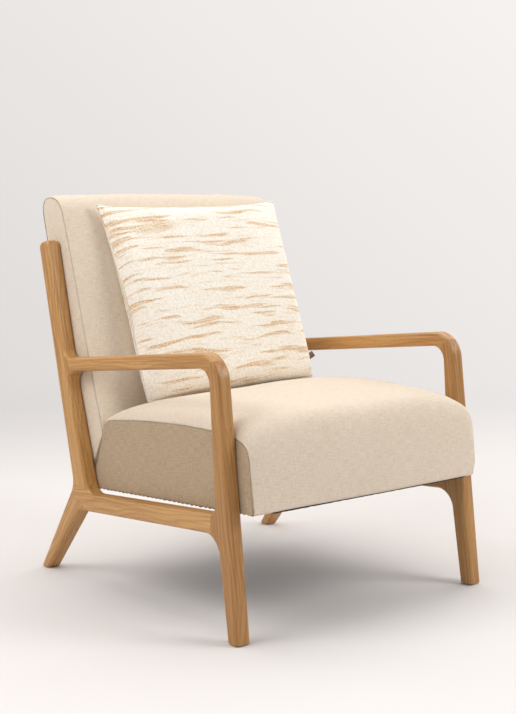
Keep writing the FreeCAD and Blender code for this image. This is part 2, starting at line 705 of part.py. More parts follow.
foam_rear_v = frame_front_v - 2 * strap_thickness
back_zones = {
    "back_foam": ((-400, -300, -60), (400, foam_rear_v, 700)),
    "back_wadding_top": ((-400, foam_rear_v, stile_top), (400, 100, 700)),
    "back_wadding_rear": ((-400, frame_rear_v, -60), (400, 100, stile_top)),
    "back_wadding_left": ((-400, foam_rear_v, -60), (-body_side, frame_rear_v, stile_top)),
    "back_wadding_right": ((body_side, foam_rear_v, -60), (400, frame_rear_v, stile_top)),
}
for name, (low, high) in back_zones.items():
    block = back_part(box(name + "_block", low, high))
    filled = common(name + "_shape", back_inner, block)
    keep(name, cut(name + "_bored", filled, hardware))

back_shell = cut("back_shell", back_outer, back_inner)
back_wrap_zone = box("back_wrap_zone", (-panel_x, 0, 0), (panel_x, 600, 1000))
back_wrap_cloth = common("back_wrap_cloth", back_shell, back_wrap_zone)
keep("back_cover_wrap", cut("back_wrap_bored", back_wrap_cloth, hardware))
for side, low_x, high_x in (("left", -400, -panel_x), ("right", panel_x, 400)):
    zone = box("back_%s_zone" % side, (low_x, 0, 0), (high_x, 600, 1000))
    panel = common("back_%s_cloth" % side, back_outer, zone)
    keep("back_cover_" + side, cut("back_cover_%s_bored" % side, panel, hardware))


# loose cushion
cushion_middle = V(d("cushion_centre_x"), d("cushion_centre_y"), d("cushion_centre_z"))
leaning = FreeCAD.Rotation(V(1, 0, 0), -d("cushion_lean"))
rolled = FreeCAD.Rotation(V(0, 1, 0), d("cushion_roll"))
turned = FreeCAD.Rotation(V(0, 0, 1), d("cushion_turn"))
cushion_place = FreeCAD.Placement(cushion_middle, turned * rolled * leaning)


def pillow_body(name, role, size, depth, rim, swap):
    """A lens on an origin plane: two arcs over the same chord, with a straight rim at each end."""
    body = doc.addObject("PartDesign::Body", name)
    sketch = body.newObject("Sketcher::SketchObject", name + "_outline")
    sketch.AttachmentSupport = (origin_plane(body, role), [""])
    sketch.MapMode = "FlatFace"
    half = size / 2

    def at(along, through):
        return V(through, along, 0) if swap else V(along, through, 0)

    edges = [
        Part.Arc(at(-half, -rim / 2), at(0, -depth / 2), at(half, -rim / 2)),
        Part.LineSegment(at(half, -rim / 2), at(half, rim / 2)),
        Part.Arc(at(half, rim / 2), at(0, depth / 2), at(-half, rim / 2)),
        Part.LineSegment(at(-half, rim / 2), at(-half, -rim / 2)),
    ]
    for edge in edges:
        index = sketch.addGeometry(edge, False)
        sketch.addConstraint(Sketcher.Constraint("Block", index))
    pad = body.newObject("PartDesign::Pad", name + "_pad")
    pad.Profile = sketch
    pad.SideType = "Symmetric"
    pad.setExpression("Length", "dims.cushion_size")
    return body


def pillow(name, trim):
    """A cushion shape, smaller all round by trim."""
    size = d("cushion_size") - 2 * trim
    depth = d("cushion_depth") - 2 * trim
    rim = d("cushion_rim") - 2 * trim
    across = pillow_body(name + "_across", "XY_Plane", size, depth, rim, False)
    upright = pillow_body(name + "_upright", "YZ_Plane", size, depth, rim, True)
    return common(name, across, upright)


cushion_outer = pillow("cushion_outer", 0)
cushion_filling = pillow("cushion_filling", cloth)
cushion_shell = cut("cushion_shell", cushion_outer, cushion_filling)
for face, low_y, high_y in (("front", -200, 0), ("back", 0, 200)):
    zone = box("cushion_%s_zone" % face, (-300, low_y, -300), (300, high_y, 300))
    panel = common("cushion_%s_cloth" % face, cushion_shell, zone)
    panel.Placement = cushion_place
    keep("cushion_cover_" + face, panel)
filling = doc.addObject("Part::Common", "cushion_filling_set")
filling.Base = cushion_filling
filling.Tool = box("cushion_filling_zone", (-300, -300, -300), (300, 300, 300))
filling.Placement = cushion_place
keep("cushion_insert", filling)
half_size = d("cushion_size") / 2
tab = box("tab_fold", (half_size, -1, -half_size + 26), (half_size + 20, 1, -half_size + 40))
tab.Placement = cushion_place.multiply(tab.Placement)
keep("cushion_tab", tab)


# check everything, then write it
doc.recompute()
failed = [o.Name for o in doc.Objects if "Invalid" in o.State or "Error" in o.State]
if failed:
    raise SystemExit("failed objects: %s" % failed)
for name, obj in sorted(pieces.items()):
    shape = obj.Shape
    if shape.isNull() or not shape.isValid() or not shape.Solids:
        raise SystemExit("bad shape: " + name)
    shape.exportStep("parts/%s.step" % name)
    print("%-24s %2d solids %9.1f cm3" % (name, len(shape.Solids), shape.Volume / 1000))
print(len(pieces), "nodes")
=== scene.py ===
import math
import bpy
import bmesh
from mathutils import Matrix, Vector, noise
from mathutils.bvhtree import BVHTree


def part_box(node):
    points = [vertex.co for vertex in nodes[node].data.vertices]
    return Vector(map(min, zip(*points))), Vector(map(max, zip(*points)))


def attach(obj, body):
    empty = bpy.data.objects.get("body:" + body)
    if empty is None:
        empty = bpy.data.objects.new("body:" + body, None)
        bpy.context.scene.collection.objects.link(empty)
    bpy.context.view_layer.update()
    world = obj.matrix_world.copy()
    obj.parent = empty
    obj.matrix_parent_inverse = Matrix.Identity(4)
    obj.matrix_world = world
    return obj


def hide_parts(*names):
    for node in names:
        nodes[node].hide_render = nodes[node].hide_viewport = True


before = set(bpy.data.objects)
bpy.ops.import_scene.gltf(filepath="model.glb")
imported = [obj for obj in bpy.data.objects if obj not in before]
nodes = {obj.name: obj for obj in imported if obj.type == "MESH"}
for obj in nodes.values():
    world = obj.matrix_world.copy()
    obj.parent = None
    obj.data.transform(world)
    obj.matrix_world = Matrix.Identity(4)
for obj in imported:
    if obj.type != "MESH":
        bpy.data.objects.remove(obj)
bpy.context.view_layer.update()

scene = bpy.context.scene
print("frame loaded:", len(nodes), "nodes")


# small helpers for curves and meshes

def throughPoints(points, t):
    # a smooth line through the points, t counts from one point to the next
    last = len(points) - 1
    i = min(int(t), last - 1)
    f = t - i
    p0 = Vector(points[max(i - 1, 0)])
    p1 = Vector(points[i])
    p2 = Vector(points[i + 1])
    p3 = Vector(points[min(i + 2, last)])
    into = (p2 - p0) / 2
    out = (p3 - p1) / 2
    reach = (p2 - p1).length
    if into.length > reach:
        into = into * reach / into.length
    if out.length > reach:
        out = out * reach / out.length
    a = 2 * f ** 3 - 3 * f ** 2 + 1
    b = f ** 3 - 2 * f ** 2 + f
    c = -2 * f ** 3 + 3 * f ** 2
    e = f ** 3 - f ** 2
    return p1 * a + into * b + p2 * c + out * e


def evenSteps(points, count):
    # values of t that are evenly spaced along the line
    fine = 40 * (len(points) - 1)
    lengths = [0.0]
    before = throughPoints(points, 0)
    for i in range(1, fine + 1):
        here = throughPoints(points, (len(points) - 1) * i / fine)
        lengths.append(lengths[-1] + (here - before).length)
        before = here
    steps = []
    k = 0
    for j in range(count):
        want = lengths[-1] * j / (count - 1)
        while k < fine - 1 and lengths[k + 1] < want:
            k += 1
        span = lengths[k + 1] - lengths[k]
        f = (want - lengths[k]) / span if span > 0 else 0
        steps.append((len(points) - 1) * min(k + f, fine) / fine)
    return steps, lengths[-1]


def runningLength(points):
    # how far along the line each point is
    total = [0.0]
    for a, b in zip(points, points[1:]):
        total.append(total[-1] + (b - a).length)
    return total


def smoothStep(low, high, x):
    t = min(max((x - low) / (high - low), 0.0), 1.0)
    return t * t * (3 - 2 * t)


def bell(away, width):
    # 1 at the line itself, fading away on both sides
    return math.exp(-(away / width) ** 2)


def meshPiece(name, verts, faces):
    mesh = bpy.data.meshes.new(name)
    mesh.from_pydata(verts, [], faces)
    mesh.update()
    mesh.polygons.foreach_set("use_smooth", [True] * len(mesh.polygons))
    piece = bpy.data.objects.new(name, mesh)
    scene.collection.objects.link(piece)
    return piece


def layCloth(piece, places):
    # each point's place in the cloth, in metres, and how much painted shade it takes beside a seam
    spot = piece.data.attributes.new("weave", "FLOAT_VECTOR", "POINT")
    spot.data.foreach_set("vector", [v for p in places for v in p])


def gridMesh(name, rows, weave, flip=False):
    # rows of points become one sheet
    across = len(rows[0])
    faces = []
    for i in range(len(rows) - 1):
        for j in range(across - 1):
            a = i * across + j
            face = (a, a + 1, a + across + 1, a + across)
            faces.append(face[::-1] if flip else face)
    piece = meshPiece(name, [p for row in rows for p in row], faces)
    layCloth(piece, [p for row in weave for p in row])
    return piece


def thicken(piece, amount, offset=-1.0):
    solid = piece.modifiers.new("thickness", "SOLIDIFY")
    solid.thickness = amount
    solid.offset = offset
    solid.use_even_offset = False
    return piece


def smoother(piece):
    finer = piece.modifiers.new("finer", "SUBSURF")
    finer.levels = 1
    finer.render_levels = 1


# node helpers

def newMaterial(name):
    material = bpy.data.materials.new(name)
    material.use_nodes = True
    tree = material.node_tree
    shader = tree.nodes["Principled BSDF"]
    return material, tree, shader


def add(tree, kind, settings=None, values=None):
    made = tree.nodes.new(kind)
    for key, value in (settings or {}).items():
        setattr(made, key, value)
    for key, value in (values or {}).items():
        made.inputs[key].default_value = value
    return made


def wire(tree, start, end):
    tree.links.new(start, end)


def maths(tree, operation, a, b=None):
    made = add(tree, "ShaderNodeMath", {"operation": operation})
    for i, value in enumerate((a, b)):
        if value is None:
            continue
        if isinstance(value, (int, float)):
            made.inputs[i].default_value = value
        else:
            wire(tree, value, made.inputs[i])
    return made.outputs[0]


def times(tree, a, b):
    return maths(tree, "MULTIPLY", a, b)


def plus(tree, a, b):
    return maths(tree, "ADD", a, b)


def minus(tree, a, b):
    return maths(tree, "SUBTRACT", a, b)


def scaled(tree, vector, x, y, z):
    made = add(tree, "ShaderNodeVectorMath", {"operation": "MULTIPLY"})
    wire(tree, vector, made.inputs[0])
    made.inputs[1].default_value = (x, y, z)
    return made.outputs[0]


def moved(tree, vector, offset):
    made = add(tree, "ShaderNodeVectorMath", {"operation": "ADD"})
    wire(tree, vector, made.inputs[0])
    if hasattr(offset, "is_linked"):
        wire(tree, offset, made.inputs[1])
    else:
        made.inputs[1].default_value = offset
    return made.outputs[0]


def cloud(tree, place, stretch, detail=3.0, rough=0.5):
    # soft noise, with its own scale along each axis
    made = add(tree, "ShaderNodeTexNoise", None, {"Scale": 1.0, "Detail": detail, "Roughness": rough})
    wire(tree, scaled(tree, place, *stretch), made.inputs["Vector"])
    return made.outputs["Fac"]


def ownPlace(tree):
    return add(tree, "ShaderNodeTexCoord").outputs["Object"]


def clothPlace(tree):
    return add(tree, "ShaderNodeAttribute", {"attribute_name": "weave"}).outputs["Vector"]


def farFrom(tree, place, spot):
    made = add(tree, "ShaderNodeVectorMath", {"operation": "DISTANCE"})
    wire(tree, place, made.inputs[0])
    made.inputs[1].default_value = spot
    return made.outputs["Value"]


def facing(tree, place, direction):
    made = add(tree, "ShaderNodeVectorMath", {"operation": "DOT_PRODUCT"})
    wire(tree, place, made.inputs[0])
    made.inputs[1].default_value = direction
    return made.outputs["Value"]


def band(tree, value, low, high):
    # 0 below low, 1 above high
    made = add(tree, "ShaderNodeMapRange", {"interpolation_type": "SMOOTHSTEP"},
               {"From Min": low, "From Max": high})
    wire(tree, value, made.inputs["Value"])
    return made.outputs["Result"]


def blendColour(tree, amount, a, b, mode="MIX"):
    made = add(tree, "ShaderNodeMix", {"data_type": "RGBA", "blend_type": mode})
    if isinstance(amount, (int, float)):
        made.inputs["Factor"].default_value = amount
    else:
        wire(tree, amount, made.inputs["Factor"])
    for socket, value in (("A", a), ("B", b)):
        place = [s for s in made.inputs if s.name == socket and s.type == "RGBA"][0]
        if isinstance(value, tuple):
            place.default_value = (*value, 1.0)
        else:
            wire(tree, value, place)
    return [s for s in made.outputs if s.type == "RGBA"][0]


def bump(tree, shader, height, strength, distance):
    made = add(tree, "ShaderNodeBump", None, {"Strength": strength, "Distance": distance})
    wire(tree, height, made.inputs["Height"])
    wire(tree, made.outputs["Normal"], shader.inputs["Normal"])


def rgb(r, g, b):
    # from screen values 0-255 to the linear colour the shader wants
    def one(v):
        v = v / 255
        return v / 12.92 if v <= 0.04045 else ((v + 0.055) / 1.055) ** 2.4
    return (one(r), one(g), one(b))


# oak

oakLook = {
    "dark": rgb(122, 74, 30),
    "middle": rgb(184, 130, 66),
    "light": rgb(212, 163, 98),
    "pore": rgb(84, 50, 20),
    "roughness": 0.44,
    "ringsPerMetre": 148.8,
    "wander": 0.085,
    "lateWood": 0.30,
    "fibres": 0.42,
    "palePatches": 0.28,
    "pores": 0.55,
    "glueLine": 0.26,
    "glueLineWidth": 0.0009,
    "glueLineReach": 0.045,
    "lacquer": 0.2,
    "grainDepth": 0.0004,
}


def glueLine(tree, place, y, z, angle):
    # a fine dark line where two members are glued, no longer than the member is wide
    look = oakLook
    normal = (0, math.cos(angle), math.sin(angle))
    level = y * normal[1] + z * normal[2]
    away = maths(tree, "ABSOLUTE", minus(tree, facing(tree, place, normal), level))
    near = minus(tree, 1.0, band(tree, away, 0.0002, look["glueLineWidth"]))
    reach = farFrom(tree, scaled(tree, place, 0, 1, 1), (0, y, z))
    there = minus(tree, 1.0, band(tree, reach, look["glueLineReach"], look["glueLineReach"] + 0.01))
    return times(tree, times(tree, near, there), look["glueLine"])


def oak(name, grainAngle, seed, cuts, darker):
    # grainAngle turns the member's own length onto +Y; cuts are glue lines as (y, z, normal angle)
    look = oakLook
    material, tree, shader = newMaterial(name)
    place = ownPlace(tree)
    turn = add(tree, "ShaderNodeVectorRotate", {"rotation_type": "X_AXIS"}, {"Angle": -grainAngle})
    wire(tree, place, turn.inputs["Vector"])
    along = moved(tree, turn.outputs["Vector"], (seed * 0.37, seed * 1.31, seed * 0.73))

    # slow drift of the board, so the rings wander
    drift = times(tree, minus(tree, cloud(tree, along, (9, 2.2, 9), 2.0), 0.5), look["wander"])
    axes = add(tree, "ShaderNodeSeparateXYZ")
    wire(tree, along, axes.inputs[0])
    depth = plus(tree, times(tree, axes.outputs["X"], 0.62), times(tree, axes.outputs["Z"], 0.78))
    ring = maths(tree, "FRACT", times(tree, plus(tree, depth, drift), look["ringsPerMetre"]))
    late = band(tree, ring, 0.35, 1.0)

    fibres = cloud(tree, along, (620, 9, 620), 3.0, 0.6)
    streaks = cloud(tree, along, (150, 3.2, 150), 3.0, 0.55)
    pores = band(tree, cloud(tree, along, (1500, 60, 1500), 1.0), 0.60, 0.68)
    poreMask = times(tree, pores, plus(tree, times(tree, late, 0.7), 0.3))
    patches = band(tree, cloud(tree, along, (14, 3.0, 14), 1.0), 0.40, 0.72)

    colour = blendColour(tree, band(tree, streaks, 0.34, 0.68), look["middle"], look["light"])
    colour = blendColour(tree, times(tree, late, look["lateWood"]), colour, look["dark"])
    fibreMask = times(tree, band(tree, fibres, 0.42, 0.72), look["fibres"])
    colour = blendColour(tree, fibreMask, colour, look["dark"])
    # darker blend per member: partly the board's own tone, partly painted shade on members that stand low and
    # get little light, the front legs most
    colour = blendColour(tree, darker, colour, look["dark"])
    colour = blendColour(tree, times(tree, patches, look["palePatches"]), colour, look["light"])
    colour = blendColour(tree, times(tree, poreMask, look["pores"]), colour, look["pore"])
    for y, z, angle in cuts:
        colour = blendColour(tree, glueLine(tree, place, y, z, angle), colour, look["pore"])
    wire(tree, colour, shader.inputs["Base Color"])
    wire(tree, plus(tree, times(tree, fibres, 0.22), look["roughness"] - 0.11), shader.inputs["Roughness"])
    shader.inputs["Coat Weight"].default_value = look["lacquer"]
    shader.inputs["Coat Roughness"].default_value = 0.3
    bump(tree, shader, minus(tree, times(tree, fibres, 0.35), poreMask), 0.35, look["grainDepth"])
    return material


# the members' lengths as angles from +Y in the side view, and the glue lines that end them
railCut = (-0.303, 0.2, 0.0)
postCut = (0.18, 0.213, math.pi / 2)
legCut = (0.172, 0.1765, math.atan2(88, -33))
armCut = (0.2222, 0.478, math.atan2(-0.268, 1))
members = {
    # grain angle, seed, glue lines, and how much darker the member is painted: partly the board's own tone,
    # partly painted shade, most on the low front legs that little light reaches
    "arm": (math.atan2(-0.112, 1), 1.0, [armCut], 0.04),
    "front_leg": (math.atan2(1, 0.14), 2.0, [railCut], 0.34),
    "side_rail": (math.atan2(-0.086, 1), 3.0, [railCut, postCut, legCut], 0.10),
    "rear_post": (math.atan2(1, 0.285), 4.0, [postCut, armCut], 0.0),
    "rear_leg": (math.atan2(0.79, -0.61), 5.0, [legCut], 0.06),
}


def dress(name, material):
    # a CAD part keeps its shape and gets a new finish
    data = nodes[name].data
    data.materials.clear()
    data.materials.append(material)
    for polygon in data.polygons:
        polygon.material_index = 0


for member, (angle, seed, cuts, darker) in members.items():
    for sideName, extra in (("left", 0.0), ("right", 7.0)):
        board = oak("oak_%s_%s" % (member, sideName), angle, seed + extra, cuts, darker)
        dress(member + "_" + sideName, board)
print("oak done")


# upholstery cloth

clothLook = {
    "thickness": 0.0016,
    "threadSpacing": 0.0016,
    "roughness": 0.92,
    "sheen": 0.16,
    "slubDepth": 0.00035,
    "specks": 0.35,
    "mottle": 0.15,
    "paintedSeamShade": 0.62,
}


def upholstery(name, light, dark, seamShadeColour):
    look = clothLook
    material, tree, shader = newMaterial(name)
    place = clothPlace(tree)
    wander = cloud(tree, place, (70, 70, 0), 2.0)
    axes = add(tree, "ShaderNodeSeparateXYZ")
    wire(tree, place, axes.inputs[0])
    step = math.pi / look["threadSpacing"]
    warp = maths(tree, "SINE", plus(tree, times(tree, axes.outputs["X"], step), times(tree, wander, 9.0)))
    weft = maths(tree, "SINE", plus(tree, times(tree, axes.outputs["Y"], step), times(tree, wander, 7.0)))
    knots = times(tree, warp, weft)
    warpSlub = cloud(tree, place, (900, 60, 0), 2.0, 0.6)
    weftSlub = cloud(tree, place, (45, 950, 0), 2.0, 0.6)
    slub = plus(tree, times(tree, warpSlub, 0.45), times(tree, weftSlub, 0.55))
    specks = band(tree, cloud(tree, place, (620, 620, 0), 2.0), 0.52, 0.72)
    mottle = band(tree, cloud(tree, place, (9, 9, 0), 2.0), 0.35, 0.7)

    colour = blendColour(tree, band(tree, slub, 0.34, 0.66), dark, light)
    colour = blendColour(tree, times(tree, specks, look["specks"]), colour, dark)
    colour = blendColour(tree, times(tree, mottle, look["mottle"]), colour, light)
    # painted shade along the seams: the cloth darkens toward the seam shade colour by the weave's third value
    colour = blendColour(tree, times(tree, axes.outputs["Z"], look["paintedSeamShade"]), colour, seamShadeColour)
    wire(tree, colour, shader.inputs["Base Color"])
    shader.inputs["Roughness"].default_value = look["roughness"]
    shader.inputs["Sheen Weight"].default_value = look["sheen"]
    shader.inputs["Sheen Roughness"].default_value = 0.5
    shader.inputs["Specular IOR Level"].default_value = 0.18
    bump(tree, shader, plus(tree, times(tree, knots, 0.28), slub), 0.5, look["slubDepth"])
    return material


# the third colour of each cloth is the painted shade along its seams
paleCloth = upholstery("paleCloth", rgb(233, 220, 203), rgb(209, 193, 172), rgb(110, 90, 68))
backPanelCloth = upholstery("backPanelCloth", rgb(231, 217, 199), rgb(207, 191, 169), rgb(110, 90, 68))
# the seat's side panels are darker than the back's: partly a darker cloth, partly painted shade under the
# arms
seatPanelShadedCloth = upholstery("seatPanelShadedCloth", rgb(190, 169, 142), rgb(160, 139, 112), rgb(74, 58, 42))


def sewingThread(name, colour):
    material, tree, shader = newMaterial(name)
    twist = cloud(tree, ownPlace(tree), (900, 900, 900), 1.0)
    darker = tuple(c * 0.72 for c in colour)
    wire(tree, blendColour(tree, twist, darker, colour), shader.inputs["Base Color"])
    shader.inputs["Roughness"].default_value = 0.8
    bump(tree, shader, twist, 0.4, 0.0003)
    return material


paleThread = sewingThread("paleThread", rgb(178, 158, 132))


# covers that wrap a padded block, between a seam at each side

def acrossSteps():
    # places across a cover, from one seam to the other, close together at the seams
    edge = [0.0, 0.012, 0.026, 0.045, 0.07, 0.10, 0.14, 0.19, 0.25, 0.32, 0.40, 0.49, 0.58, 0.68, 0.785]
    near = [math.sqrt(math.cos(a)) for a in edge]
    inner = near[-1]
    count = 46
    middle = [inner - 2 * inner * i / count for i in range(1, count)]
    return near + middle + [-s for s in reversed(near)]


coverSteps = acrossSteps()

seamSetup = {
    # how the cloth is drawn in at a seam, how wide the painted shade along it is, and where the stitches
    # beside it lie
    "groove": 0.0022,
    "grooveWidth": 0.0022,
    "shadeWidth": 0.0017,
    "puff": 0.0012,
    "puffWidth": 0.03,
    "stitchWidth": 0.0016,
    "stitchLength": 0.0042,
    "stitchGap": 0.0017,
    "threadRadius": 0.00055,
}


# how much painted shade darkens the cloth at this distance from a seam
def seamShade(away):
    return bell(away, seamSetup["shadeWidth"])


def coverRow(setup, seam, crown):
    # one line over the padded block, from the right seam to the left one, as (x, side view)
    line = []
    for s in coverSteps:
        lift = math.sqrt(max(0.0, 1 - abs(s) ** setup["fullness"]))
        spot = seam * (1 - lift) + crown * lift
        half = setup["half"] + setup["flare"](seam, s)
        rise = setup["rightRise"] * s * lift * setup["rearShare"](seam)
        line.append(Vector((s * half, spot[0], spot[1] + rise)))
    return line


def stitchSpot(row, edge, inset, side):
    # where the stitch line crosses the row; edge holds each point's distance from the nearer seam
    order = range(len(row)) if side > 0 else range(len(row) - 1, -1, -1)
    before = None
    for j in order:
        if edge[j] >= inset:
            return row[before].lerp(row[j], (inset - edge[before]) / (edge[j] - edge[before]))
        before = j


def coverRows(setup, place):
    # rows of points over a padded block: place(x, a, b) turns side-view values into a point
    steps, length = evenSteps(setup["crown"], setup["rows"])
    rows = []
    weave = []
    stitchLines = {-1: [], 1: []}
    for i, t in enumerate(steps):
        seam = throughPoints(setup["seam"], t)
        crown = throughPoints(setup["crown"], t)
        run = length * i / (len(steps) - 1)
        outward = Vector((crown[0] - seam[0], crown[1] - seam[1]))
        outward = outward.normalized() if outward.length > 1e-5 else Vector((0, 0))
        line = coverRow(setup, seam, crown)
        total = runningLength(line)
        edge = [min(far, total[-1] - far) for far in total]
        row = []
        cloth = []
        for far, away, point in zip(total, edge, line):
            side = 1 if point.x > 0 else -1
            groove = seamSetup["groove"] * bell(away, seamSetup["grooveWidth"])
            dip = setup["stitchDip"] * bell(away - setup["stitchInset"], seamSetup["stitchWidth"])
            pucker = 0.0009 * math.exp(-away / 0.022) * noise.noise(Vector((run * 75, side * 3.1, away * 18)))
            sag = setup["unevenness"] * smoothStep(0.0, 0.05, away)
            sag *= noise.noise(Vector((point.x * 7.5, run * 7.5, setup["seed"])))
            rise = pucker + sag - dip
            row.append(place(point.x - side * groove, point.y + outward.x * rise, point.z + outward.y * rise))
            cloth.append((far - total[-1] / 2, run, seamShade(away)))
        for side in (-1, 1):
            stitchLines[side].append(stitchSpot(row, edge, setup["stitchInset"], side))
        rows.append(row)
        weave.append(cloth)
    return rows, weave, stitchLines


def stitches(name, lines, middle, material):
    # short raised threads along each line; middle is inside the block, to find which way is up
    length = seamSetup["stitchLength"]
    pitch = length + seamSetup["stitchGap"]
    radius = seamSetup["threadRadius"]
    verts = []
    faces = []
    for line in lines:
        total = runningLength(line)
        k = 0
        for n in range(int(total[-1] / pitch)):
            ends = []
            for want in (n * pitch, n * pitch + length):
                while k < len(total) - 2 and total[k + 1] < want:
                    k += 1
                span = max(total[k + 1] - total[k], 1e-9)
                ends.append(line[k] + (line[k + 1] - line[k]) * ((want - total[k]) / span))
            along = (ends[1] - ends[0]).normalized()
            up = (ends[0] - middle).normalized()
            up = (up - along * up.dot(along)).normalized()
            sideways = along.cross(up)
            base = len(verts)
            for share, size in ((0.0, 0.25), (0.18, 0.85), (0.5, 1.0), (0.82, 0.85), (1.0, 0.25)):
                centre = ends[0].lerp(ends[1], share)
                for corner in range(6):
                    angle = math.pi * corner / 3
                    verts.append(centre + (sideways * math.cos(angle) + up * math.sin(angle)) * radius * size)
            for ring in range(4):
                for corner in range(6):
                    a = base + ring * 6 + corner
                    b = base + ring * 6 + (corner + 1) % 6
                    faces.append((a, b, b + 6, a + 6))
            faces.append(tuple(base + c for c in reversed(range(6))))
            faces.append(tuple(base + 24 + c for c in range(6)))
    piece = meshPiece(name, verts, faces)
    piece.data.materials.append(material)
    return piece


def sewnCover(name, setup, place, stitchedRows, middle, hidden):
    # a cover over its padded block, with the stitches along both seams
    rows, weave, lines = coverRows(setup, place)
    cover = thicken(gridMesh(name + "Cover", rows, weave), clothLook["thickness"])
    cover.data.materials.append(paleCloth)
    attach(cover, "chair")
    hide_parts(*hidden)
    thread = stitches(name + "Stitches", [lines[side][stitchedRows] for side in (-1, 1)], middle, paleThread)
    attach(thread, "chair")
    return cover


def sewnPanel(piece, cloth, side):
    # finish a side panel, for either block
    sideName = "left" if side < 0 else "right"
    block = "seat" if piece.name.startswith("seat") else "back"
    thicken(piece, clothLook["thickness"])
    piece.data.materials.append(cloth)
    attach(piece, "chair")
    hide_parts(block + "_cover_" + sideName, block + "_wadding_" + sideName)


# seat

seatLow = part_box("seat_cover_left")[0]
seatSetup = {
    "frontY": seatLow.y,
    "hemZ": 0.249,
    "tilt": math.radians(4.1),
    "half": 0.3035,
    "rows": 190,
    "stitchInset": 0.0062,
    "stitchDip": 0.0006,
    "unevenness": 0.0022,
    "seed": 4.7,
    "bulge": 0.0130,
    "rightRise": 0.0085,
    "fullness": 6.0,
    "hemScallop": 0.0030,
    "staplePitch": 0.0155,
    # side seam, as (along the underside, up from it), from the front hem over the top to the rear hem
    "seam": [(0.012, -0.0012), (0.0, 0.0), (0.0005, 0.045), (0.0022, 0.080), (0.0042, 0.104),
             (0.0078, 0.1190), (0.0145, 0.1275), (0.0260, 0.1345), (0.047, 0.1415), (0.100, 0.1495),
             (0.200, 0.1563), (0.290, 0.1577), (0.385, 0.1560), (0.470, 0.1520), (0.495, 0.1490),
             (0.507, 0.1415), (0.5125, 0.127), (0.535, 0.0725), (0.571, 0.0)],
    # the same line over the middle of the seat
    "crown": [(0.012, -0.0012), (-0.001, 0.0), (-0.0075, 0.045), (-0.0095, 0.078), (-0.0085, 0.109),
              (-0.0040, 0.139), (0.0060, 0.163), (0.0230, 0.1780), (0.052, 0.1865), (0.100, 0.1930),
              (0.216, 0.2025), (0.315, 0.2045), (0.385, 0.2015), (0.436, 0.1930), (0.470, 0.1835),
              (0.4900, 0.1690), (0.4990, 0.128), (0.532, 0.0725), (0.570, 0.0)],
}


def seatPoint(x, u, w):
    c = math.cos(seatSetup["tilt"])
    s = math.sin(seatSetup["tilt"])
    return Vector((x, seatSetup["frontY"] + u * c + w * s, seatSetup["hemZ"] - u * s + w * c))


def seatFlare(spot, s):
    # in front of the right leg the cover stands a little wider
    low = smoothStep(-0.002, 0.03, spot[1])
    right = smoothStep(0.2, 1.0, s)
    return seatSetup["bulge"] * (1 - smoothStep(0.010, 0.030, spot[0])) * (0.35 + 0.65 * low) * right


def seatRear(spot):
    # how far back a place is, for the slow rise of the right half
    return smoothStep(0.05, 0.33, spot[0]) * smoothStep(0.10, 0.15, spot[1])


seatSetup["flare"] = seatFlare
seatSetup["rearShare"] = seatRear
seatCover = sewnCover("seat", seatSetup, seatPoint, slice(8, -40), seatPoint(0, 0.28, 0.06),
                      ["seat_cover_top", "seat_foam", "seat_wadding_front", "seat_wadding_rear"])
print("seat cover done")

# distances from an edge, fine close to it
edgeSteps = [0.0, 0.0007, 0.0015, 0.0025, 0.004, 0.006, 0.009]
panelDepth = 0.15


def seatSideChains(count):
    # matching points along the seam and along the hem of a side panel
    seamLine = seatSetup["seam"][1:]
    top = [throughPoints(seamLine, t) for t in evenSteps(seamLine, count)[0]]
    eased = [smoothStep(-0.12, 1.12, i / (count - 1)) for i in range(count)]
    hemEnd = seamLine[-1][0]
    return top, [Vector((hemEnd * (e - eased[0]) / (eased[-1] - eased[0]), 0.0)) for e in eased]


def seatHem(u):
    # tacked hem: shallow scallops between the staples
    wander = 0.9 * noise.noise(Vector((u * 22, 0, 1))) + 0.5 * noise.noise(Vector((u * 61, 0, 7)))
    deep = 0.55 + 0.6 * abs(noise.noise(Vector((u * 33, 0, 4))))
    return -seatSetup["hemScallop"] * deep * abs(math.sin(u * math.pi / seatSetup["staplePitch"] + wander))


def seatPanel(name, side):
    # a flat panel between the seam at its top and the hem at its bottom
    top, bottom = seatSideChains(300)
    inner = panelDepth - edgeSteps[-1]
    shares = [v / panelDepth for v in edgeSteps]
    shares += [(edgeSteps[-1] + inner * i / 34) / panelDepth for i in range(1, 35)]
    rows = []
    weave = []
    for share in shares:
        row = []
        cloth = []
        for a, b in zip(top, bottom):
            spot = a * (1 - share) + b * share
            away = (a - b).length * share
            low = 1 - smoothStep(0.0, 0.02, (a - b).length * (1 - share))
            free = smoothStep(0.0, seamSetup["puffWidth"], away)
            groove = seamSetup["groove"] * bell(away, seamSetup["grooveWidth"])
            ripple = noise.noise(Vector((spot[0] * 70, spot[1] * 70, 2.0 + side)))
            pucker = 0.0008 * math.exp(-away / 0.02) * ripple
            puff = seamSetup["puff"] * free * (1 - 0.6 * low)
            wave = 0.0011 * free * noise.noise(Vector((spot[0] * 9, spot[1] * 9, 8.0 * side)))
            x = seatSetup["half"] + seatFlare(spot, side) - groove + pucker + puff + wave
            row.append(seatPoint(side * x, spot[0], spot[1] + seatHem(spot[0]) * low))
            cloth.append((spot[0], spot[1], seamShade(away)))
        rows.append(row)
        weave.append(cloth)
    return gridMesh(name, rows, weave, flip=side < 0)


for side, sideName in ((-1, "Left"), (1, "Right")):
    sewnPanel(seatPanel("seatPanel" + sideName, side), seatPanelShadedCloth, side)
print("seat panels done")


# back

